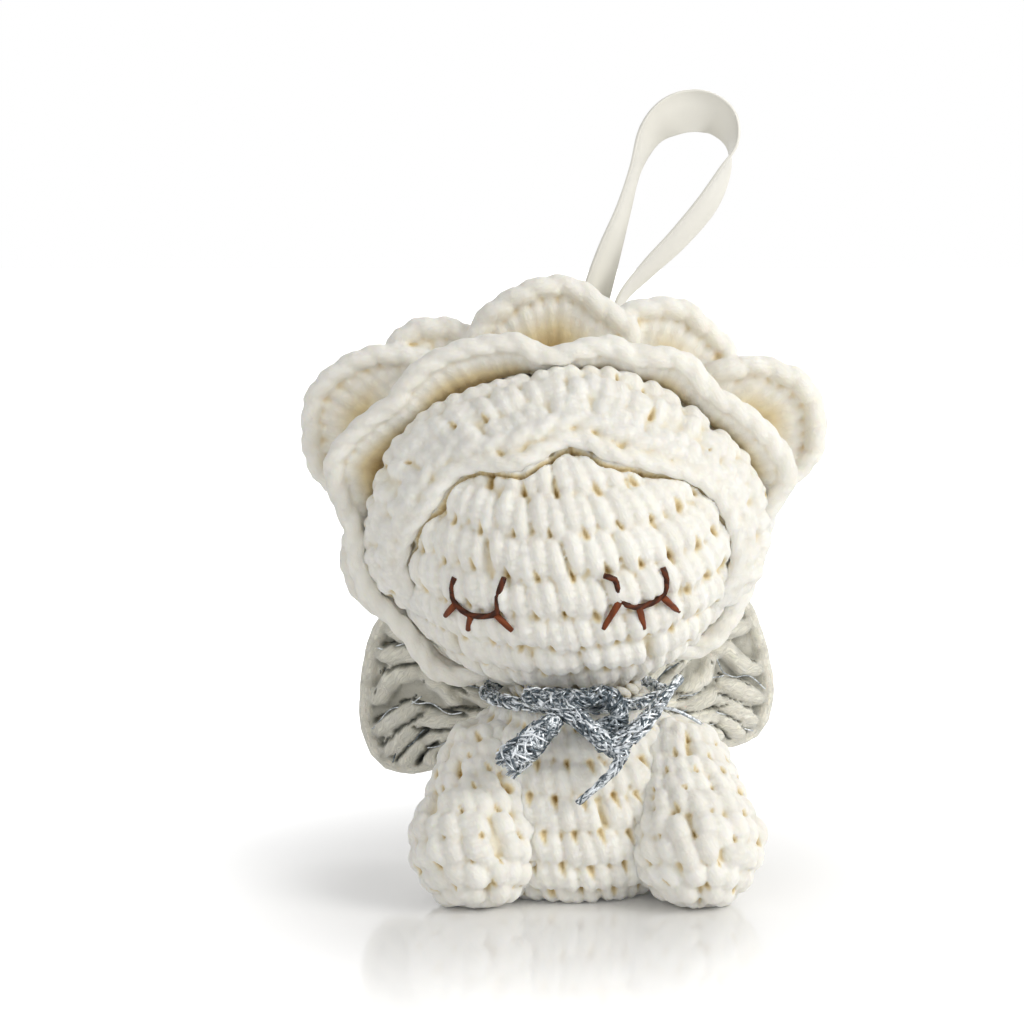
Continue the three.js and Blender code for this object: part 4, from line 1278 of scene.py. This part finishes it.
class CROCHET_OT_mane_cap(CrochetOperator, Operator):
    """Crochet the hood at the back of the head that carries the ruffles"""

    bl_idname = "crochet.mane_cap"
    bl_label = "Mane cap"

    def build(self, sizes, colours):
        surface = head_shape(sizes, (0, 1, 0.185), (0, 0, 1), CAP_GROWTH)
        rows = rounds(surface, pitch=4.7, width=sizes.head_stitch / MM, stop=9 / 16)

        def covered(points):
            local = points - HEAD_CENTRE
            edge = CAP_FRONT - MANE_SLOPE * np.maximum(0, local[:, 2])
            return (local[:, 1] > edge + 0.6) & (local[:, 2] > CAP_HEM + 1.5)

        rng = self.rng(20)
        pits = []
        lobes = v_stitches(surface, rows, rng, lean=0.1, plump=0.95, keep=covered, pits=pits)

        def sheet(u, v):
            # From the back of the head out to the front edge and the hem
            turn, fall = 2 * np.pi * u, (0.02 + v) * np.pi / 2
            ray = np.stack([np.sin(turn) * np.sin(fall), np.cos(fall), np.cos(turn) * np.sin(fall)], -1)
            local = (head_half(sizes) + CAP_GROWTH - 1.1) * ray
            local[..., 2] = np.maximum(local[..., 2], CAP_HEM + 0.4)
            return HEAD_CENTRE + local

        lobes += self.hem(sizes, rng)
        cap = cream_piece("mane_cap_crochet", lobes, colours, "head", "mane_cap")
        soften(join(cap, under_cloth(bare(sheet), 64, 24, wall=1.0)), voxel=0.36, passes=1, pits=pits)

    @staticmethod
    def hem(sizes, rng):
        """A rolled edge round the nape."""
        half_width, half_depth, half_height = head_half(sizes) + CAP_GROWTH
        slim = math.sqrt(1 - (CAP_HEM / half_height) ** 2)
        turn = np.radians(np.linspace(4, 176, 90))
        edge = HEAD_CENTRE + hoop(turn, (half_width - 1) * slim, (half_depth - 1) * slim, CAP_HEM + 0.8)
        away = hoop(turn, 1, 1, -0.6)
        return rope(edge, away, rng, pitch=3.6, span=5.0, radius=1.1, slant=0.5)


class CROCHET_OT_mane_ruffles(CrochetOperator, Operator):
    """Crochet the fringe, the middle ruffle and the petals of the outer ruffle"""

    bl_idname = "crochet.mane_ruffles"
    bl_label = "Mane ruffles"

    # The rope on the edges of the middle and outer ruffles
    EDGE = {"pitch": 3.4, "span": 7.0, "slant": 0.27}

    def build(self, sizes, colours):
        self.fringe(sizes, colours)
        self.middle(sizes, colours)
        self.outer(sizes, colours)

    def fringe(self, sizes, colours):
        rng = self.rng(30)
        sheet = fringe_sheet(sizes)
        surface = lifted(sheet)
        rows = [(0.02, 0.38, 24, 0), (0.38, 0.7, 23, 0), (0.7, 0.95, 22, 0)]
        look = {"lean": -0.25, "plump": 1.1, "relief": 0.7, "loose": 0.09}
        pits = []
        lobes = v_stitches(surface, rows[:2], rng, pits=pits, **look)
        lobes += v_stitches(surface, rows[2:], rng, **look)
        pits = [pit for pit in pits if rng.random() < 0.45]
        line = np.linspace(0, 1, 160)
        edge, outward = rim_of(sheet, line, 0.8)
        lift = unit(edge - HEAD_CENTRE)
        lowest, outward = edge - 0.3 * lift, unit(outward + 0.8 * lift)
        lobes += rope(lowest, outward, rng, pitch=3.2, span=6.4, radius=0.95, slant=0.28)
        above = sheet(line, np.full_like(line, 0.88)) - 0.35 * lift
        lobes += rope(above, lift, rng, pitch=3.4, span=6.2, radius=1.05, slant=-0.3)
        fringe = cream_piece("mane_fringe_crochet", lobes, colours, "head", "mane_fringe")
        join(fringe, under_cloth(surface, 90, 10, lift=-0.8, wall=0.9))
        soften(fringe, voxel=0.33, passes=2, pits=pits, pit=(0.5, 0.4))

    def middle(self, sizes, colours):
        rng = self.rng(31)
        sheet = middle_sheet(sizes)
        lobes = posts(lifted(sheet, -1), 84, rng, start=0.04, stop=0.97, radius=1.45)
        edge, outward = rim_of(sheet, np.linspace(0.005, 0.995, 240), 0.7)
        lobes += rope(edge, outward, rng, radius=sizes.rope_radius / MM, **self.EDGE)
        middle = cream_piece("mane_middle_crochet", lobes, colours, "head", "mane_middle_ruffle")
        join(middle, under_cloth(bare(sheet), 120, 8, painted_shade=0.9, wall=0.9))
        soften(middle, voxel=0.33, passes=2, shade=0.1)
        fold_shade(middle, edge, near=1.3, far=5.5, most=0.85)

    def outer(self, sizes, colours):
        rng = self.rng(32)
        lobes, cloths, edges = [], [], []
        radius = 1.15 * (sizes.rope_radius / MM)
        for name, rim in PETALS.items():
            sheet = petal_sheet(sizes, rim, REAR_STEP if name in REAR_PETALS else 0.0)
            edge, outward = rim_of(sheet, np.linspace(0, 1, 80), 0.8)
            edges.append(edge)
            count = max(4, round(lengths_along(edge)[-1] / 2.2))
            turn = 1 if rim[0][0] > rim[-1][0] else -1
            lobes += posts(lifted(sheet, turn), count, rng, start=0.03, stop=0.96, radius=1.5)
            lobes += rope(edge, outward, rng, radius=radius, **self.EDGE)
            cloths.append(under_cloth(bare(sheet), 20, 8, painted_shade=0.85, wall=0.9))
        outer = cream_piece("mane_outer_crochet", lobes, colours, "head", "mane_outer_ruffle")
        soften(join(outer, *cloths), voxel=0.33, passes=2, shade=0.1)
        fold_shade(outer, np.concatenate(edges), near=1.5, far=8.0, most=0.85)


class CROCHET_OT_wings(CrochetOperator, Operator):
    """Crochet both wings as fans of grey cream yarn and silver thread"""

    bl_idname = "crochet.wings"
    bl_label = "Wings"

    # The fan's length, where it starts beyond its seam, and how far its rim stands above and below it
    SPAN = 23.0
    START = 1.35
    BULGE = 10.1
    # Name, side, tilt and sweep in degrees, and the size of its creases and their painted shade
    # The right wing faces the key lamp, so its painted shade is smaller
    SETS = (("left", -1, 7, 13, 1.0), ("right", 1, 17, 22, 0.6))
    # Heights of the sewing stitches on the seam
    SEWN = (-2.1, -0.7, 0.7, 2.1)

    def build(self, sizes, colours):
        shades = colours.wing, colours.wing_painted_side_shade, colours.wing_shade
        yarn = named_material("wing_cotton_yarn", cotton_yarn, *shades, 0.95)
        up = np.array([0, 0, 1])
        for i, (name, side, tilt, sweep, crease) in enumerate(self.SETS):
            rng = self.rng(40 + i)
            seat = middle_of(f"wing_{name}_seam")
            tilt, sweep = math.radians(tilt), math.radians(sweep)
            level = np.array([side * math.cos(sweep), math.sin(sweep), 0])
            out = math.cos(tilt) * level + math.sin(tilt) * up
            rise = -math.sin(tilt) * level + math.cos(tilt) * up
            front = unit(np.cross(out, rise)) * side
            self.wing(name, seat, out, rise, front, crease, rng, yarn, colours)
            self.seam(name, seat, out, rng, colours)

    def seam(self, name, seat, out, rng, colours):
        """A bar of stitches on the back, sewn through into the body and into the wing's root."""
        bar = [seat + np.array([0, 0, height]) for height in self.SEWN]
        sewn = tinsel(bar, rng, radius=0.75, strand=0.5, per_mm=3.0, span=2.4, skew=1.6)
        inward = -unit(seat * (1, 1, 0))
        for place in bar:
            deep = seat + 4.2 * inward + 0.3 * (place - seat)
            sewn += thread(curve_through([deep, place + 0.9 * inward, place + 0.7 * out], 24), 0.7, 0.5)
        cream_piece(f"wing_{name}_stitches", sewn, colours, "body", f"wing_{name}_seam")

    def outline(self, share):
        """The rim of a wing from its lower root round its tip to its upper root, as (out, up)."""
        along = 1 - np.abs(2 * share - 1)
        out = self.START + self.SPAN * np.sin(along * np.pi / 2)
        half = 2.5 - 1.1 * along + self.BULGE * np.sin(np.pi * np.clip(along, 0, 1) ** 1.1)
        return np.stack([out, np.sign(2 * share - 1) * half], axis=-1)

    def wing(self, name, seat, out, rise, front, crease, rng, yarn, colours):
        def place(flat, lift):
            return seat + flat[..., :1] * out + flat[..., 1:] * rise + lift[..., None] * front

        def fan(u, w, lift):
            rim = self.outline(u)
            root = np.stack([np.full_like(u, self.START + 0.6), (2 * u - 1) * 1.9], axis=-1)
            return place(root + (rim - root) * w[..., None], lift)

        def layer(face, height, fall):
            """One face of the fan, highest at its root."""
            return lambda u, w, lift: fan(u, w, face * (lift + height - fall * w))

        def core(face):
            """One face of the cloth inside the fan."""
            return lambda u, v, lift: fan(0.02 + 0.96 * u, 0.03 + 0.95 * v, face * 0.9 * np.sin(np.pi * v))

        share = np.linspace(0.015, 0.985, 200)
        lobes = thread(fan(share, np.full_like(share, 0.97), np.zeros_like(share)), 1.15, 0.8, front)
        for up in (-1.5, -0.5, 0.5, 1.5):
            stem = np.column_stack([np.linspace(0.4, 3.6, 20), up * np.linspace(1, 1.25, 20)])
            lobes += thread(place(stem, np.zeros(20)), 0.8, 0.5, front)
        threads, pits = [], []
        for face in (1, -1):
            inner, outer = layer(face, 1.2, 0.5), layer(face, 1.1, 0.3)
            for row, count, start, stop, radius, lean in (
                (inner, 9, 0.04, 0.42, 0.95, 0.3),
                (outer, 11, 0.34, 0.66, 1.35, 0.7 * face),
                (outer, 15, 0.6, 0.93, 1.5, -1.1 * face),
            ):
                lobes += posts(row, count, rng, start, stop, radius, lean)
                threads += self.silver_lines(row, count, start, stop, lean, rng)
                pits += self.grooves(row, count, start, min(stop, 0.9), lean, 0.55 * radius, crease, rng)
        body = f"wing_{name}"
        wing = yarn_piece(f"{body}_crochet", lobes, yarn, body, "wing_yarn", body)
        cloths = [under_cloth(core(face), 40, 10, painted_shade=0.9) for face in (1, -1)]
        soften(join(wing, *cloths), voxel=0.3, passes=1, shade=0.3, pits=pits, pit=(0.6, 0.6))
        yarn_piece(f"{body}_thread", threads, silver_cord(colours), body, "silver_cord")

    @staticmethod
    def silver_lines(row, count, start, stop, lean, rng):
        """Thin silver strands in the creases between a row's lobes."""
        t = np.linspace(0, 1, 24)
        w = start + (stop - start) * t
        lobes = []
        for i in range(1, count, 2):
            u = i + rng.normal(0, 0.08) + lean * (t - 0.5) + 0.12 * np.sin(9 * t + rng.uniform(0, 6))
            lobes += thread(row(u / count, w, np.full_like(t, 0.55)), 0.1, rng.uniform(0.2, 0.8))
        return lobes

    @staticmethod
    def grooves(row, count, start, stop, lean, lift, crease, rng):
        """Creases between a row's strands, painted dark with shade, each a chain of pits that point to the
        root.
        """
        t = np.linspace(0, 1, 14)
        w = start + (stop - start) * t
        pits = []
        for i in range(1, count):
            u = (i + lean * (t - 0.5) + rng.normal(0, 0.03, len(t))) / count
            place = row(u, w, np.full_like(t, lift))
            outward = unit(row(u, w, np.full_like(t, lift + 0.5)) - place)
            along = -unit(np.gradient(place, axis=0))
            pits += list(zip(place, outward, along, crease * rng.uniform(0.35, 0.85, len(t))))
        return pits


class CROCHET_OT_tie(CrochetOperator, Operator):
    """Tie the silver chain stitch cord round the neck"""

    bl_idname = "crochet.tie"
    bl_label = "Silver tie"

    BAND_RADIUS = 11.7
    # Radius of one metallic strand in the knot and its ends, and the loose ones at the frayed end
    STRAND = 0.165
    FILAMENTS = 26
    # Middle lines of the knot's two turns, of its three ends and of a loose thread
    DIAGONAL = (
        (-6.4, -11.6, 27.6), (-2.8, -14.8, 27.0), (0.3, -16.4, 25.2), (3.5, -17.0, 22.6),
        (6.1, -16.8, 20.6),
    )
    UNDER = (
        (-4.4, -13.0, 27.6), (0.2, -14.4, 27.6), (4.2, -13.4, 27.8), (5.4, -14.8, 25.0),
        (2.4, -15.4, 23.6),
    )
    MIDDLE_END = ((5.9, -17.0, 20.6), (4.4, -17.3, 18.7), (2.6, -17.4, 16.9), (0.1, -17.2, 14.6))
    LEFT_END = (
        (-2.4, -16.0, 25.4), (-4.3, -16.5, 23.9), (-6.2, -17.0, 22.2), (-7.6, -17.2, 20.9),
        (-8.7, -17.2, 20.0),
    )
    RIGHT_END = (
        (2.4, -16.3, 22.4), (5.4, -16.8, 22.6), (8.0, -16.0, 24.2), (10.0, -14.0, 26.2),
        (11.8, -11.6, 27.8), (13.5, -9.5, 29.4),
    )
    LOOSE = ((9.9, -15.2, 26.6), (12.1, -16.0, 26.6), (14.2, -15.7, 25.6), (15.9, -15.2, 24.5))

    def build(self, sizes, colours):
        silver = silver_cord(colours)
        rng = self.rng(50)

        def end(name, lobes, body, part):
            yarn_piece(name, lobes, silver, body, "silver_cord", part)

        def strands(line, radius, per_mm, **twist):
            return tinsel(curve_through(line, 60), rng, radius, self.STRAND, per_mm, **twist)

        turn = np.radians(np.linspace(-112, 248, 120))
        level = np.interp(np.sin(turn), [-1, 1], [25.9, 25.3])
        band = hoop(turn, self.BAND_RADIUS, self.BAND_RADIUS, level)
        strand = tinsel(band, rng, radius=0.9, strand=0.18, per_mm=16)
        end("tie_band_cord", strand, "body", "scarf_band")
        knot = strands(self.DIAGONAL, 1.2, per_mm=46)
        # The knot's under turn is painted darker, as shade under the turn over it
        knot += strands(self.UNDER, 1.25, per_mm=40, skew=1.6, shine=0.6)
        end("tie_knot_cord", knot, "body", "scarf_knot")
        right = strands(self.RIGHT_END, [1.3, 1.3, 1.2, 1.0, 0.6, 0.5], per_mm=40)
        right += thread(curve_through(self.LOOSE, 40), 0.24, 0.55)
        end("tie_end_right_cord", right, "body", "scarf_tail_right")
        left = strands(self.LEFT_END, [1.0, 1.6, 1.9, 2.1, 2.1], per_mm=84, span=1.4, skew=1.4)
        left += self.frayed(np.array(self.LEFT_END[-1]), rng)
        end("tie_end_left_cord", left, self.bend("tail_left", self.LEFT_END), "scarf_tail_left")
        middle = strands(self.MIDDLE_END, [0.8, 0.55, 0.42, 0.35], per_mm=26)
        end("tie_end_middle_cord", middle, self.bend("tail_middle", self.MIDDLE_END), "scarf_tail_middle")

    @staticmethod
    def bend(body, line):
        """A tie end's bodies and two points of its line: its root in the knot and its third point."""
        return "body", body, tuple(np.array(line[0]) * MM), tuple(np.array(line[2]) * MM)

    def frayed(self, root, rng):
        """Loose filaments across the cut end."""
        lobes = []
        for _ in range(self.FILAMENTS):
            across = rng.uniform(-1.9, 1.9)
            start = root + np.array([-across * 0.63, rng.uniform(-0.6, 0.6), across * 0.77])
            tip = start + np.array([-rng.uniform(0.4, 1.2), rng.uniform(-0.3, 0.3), -rng.uniform(0.1, 1.0)])
            lobes += thread(np.linspace(start, tip, 12), 0.16, rng.uniform(0.2, 0.9))
        return lobes


class CROCHET_OT_eyes(CrochetOperator, Operator):
    """Embroider the closed lids and their lashes on the face"""

    bl_idname = "crochet.eyes"
    bl_label = "Eyes"

    # Threads on the face, across and up from the head's middle
    THREADS = {
        "left": (
            ((-14.2, -3.6), (-14.5, -5.2), (-14.1, -7.1), (-12.1, -8.5), (-9.0, -8.0), (-8.7, -5.6),
             (-7.9, -3.1)),
            ((-14.1, -7.2), (-14.8, -8.1), (-15.4, -9.0)),
            ((-12.1, -8.5), (-12.3, -9.6), (-12.5, -10.6)),
            ((-8.9, -8.1), (-7.9, -9.2), (-6.9, -10.2)),
        ),
        "right": (
            ((4.6, -2.7), (6.1, -3.4), (6.6, -5.9), (9.0, -7.1), (12.0, -5.9), (12.6, -3.8), (12.1, -2.1)),
            ((6.6, -6.2), (5.6, -8.0), (4.6, -9.8)),
            ((9.1, -7.1), (9.5, -8.6), (9.8, -10.1)),
            ((12.1, -5.9), (13.2, -7.1), (14.3, -8.2)),
        ),
    }

    def build(self, sizes, colours):
        brown = named_material("brown_embroidery_thread", embroidery_cotton, colours.brown)
        thick = sizes.eye_thread / MM
        for name, lines in self.THREADS.items():
            lobes = []
            for i, line in enumerate(lines):
                # The first line is the lid, and the others are lashes, which taper and are painted lighter,
                # as lit
                # The lid's thread is painted dark with shade, where it sinks between the stitches
                lift, radius, tone = (0.5, (1.2 * thick, 0.9 * thick), 0.38) if i else (0.42, thick, -0.05)
                flat = curve_through(line, 60)
                half = head_half(sizes) + lift
                depth = -half[1] * np.sqrt(1 - (flat[:, 0] / half[0]) ** 2 - (flat[:, 1] / half[2]) ** 2)
                path = HEAD_CENTRE + np.column_stack([flat[:, 0], depth, flat[:, 1]])
                lobes += thread(path, radius, tone)
            yarn_piece(f"eye_{name}_thread", lobes, brown, "head", "brown_thread", f"eye_{name}")


class CROCHET_PT_panel(Panel):
    """Lists the steps that build the ornament"""

    bl_idname = "CROCHET_PT_panel"
    bl_label = "Crocheted lion"
    bl_space_type = "VIEW_3D"
    bl_region_type = "UI"
    bl_category = "Crochet"

    def draw(self, context):
        for group in (context.scene.crochet_sizes, context.scene.crochet_colours):
            for name in group.__annotations__:
                self.layout.prop(group, name)
        for step in STEPS:
            self.layout.operator(step.bl_idname)


STEPS = (
    CROCHET_OT_stage, CROCHET_OT_ribbon, CROCHET_OT_head, CROCHET_OT_body, CROCHET_OT_legs,
    CROCHET_OT_mane_cap, CROCHET_OT_mane_ruffles, CROCHET_OT_wings, CROCHET_OT_tie, CROCHET_OT_eyes,
)
CLASSES = (CrochetSizes, CrochetColours, *STEPS, CROCHET_PT_panel)


def register():
    for cls in CLASSES:
        bpy.utils.register_class(cls)
    bpy.types.Scene.crochet_sizes = PointerProperty(type=CrochetSizes)
    bpy.types.Scene.crochet_colours = PointerProperty(type=CrochetColours)


def unregister():
    del bpy.types.Scene.crochet_colours
    del bpy.types.Scene.crochet_sizes
    for cls in reversed(CLASSES):
        bpy.utils.unregister_class(cls)


def main():
    register()
    bpy.ops.object.select_all(action="DESELECT")
    bpy.ops.crochet.stage()
    bpy.ops.crochet.ribbon()
    bpy.ops.crochet.head()
    bpy.ops.crochet.body()
    bpy.ops.crochet.legs()
    bpy.ops.crochet.mane_cap()
    bpy.ops.crochet.mane_ruffles()
    bpy.ops.crochet.wings()
    bpy.ops.crochet.tie()
    bpy.ops.crochet.eyes()
    bpy.context.view_layer.update()


if __name__ == "__main__":
    main()
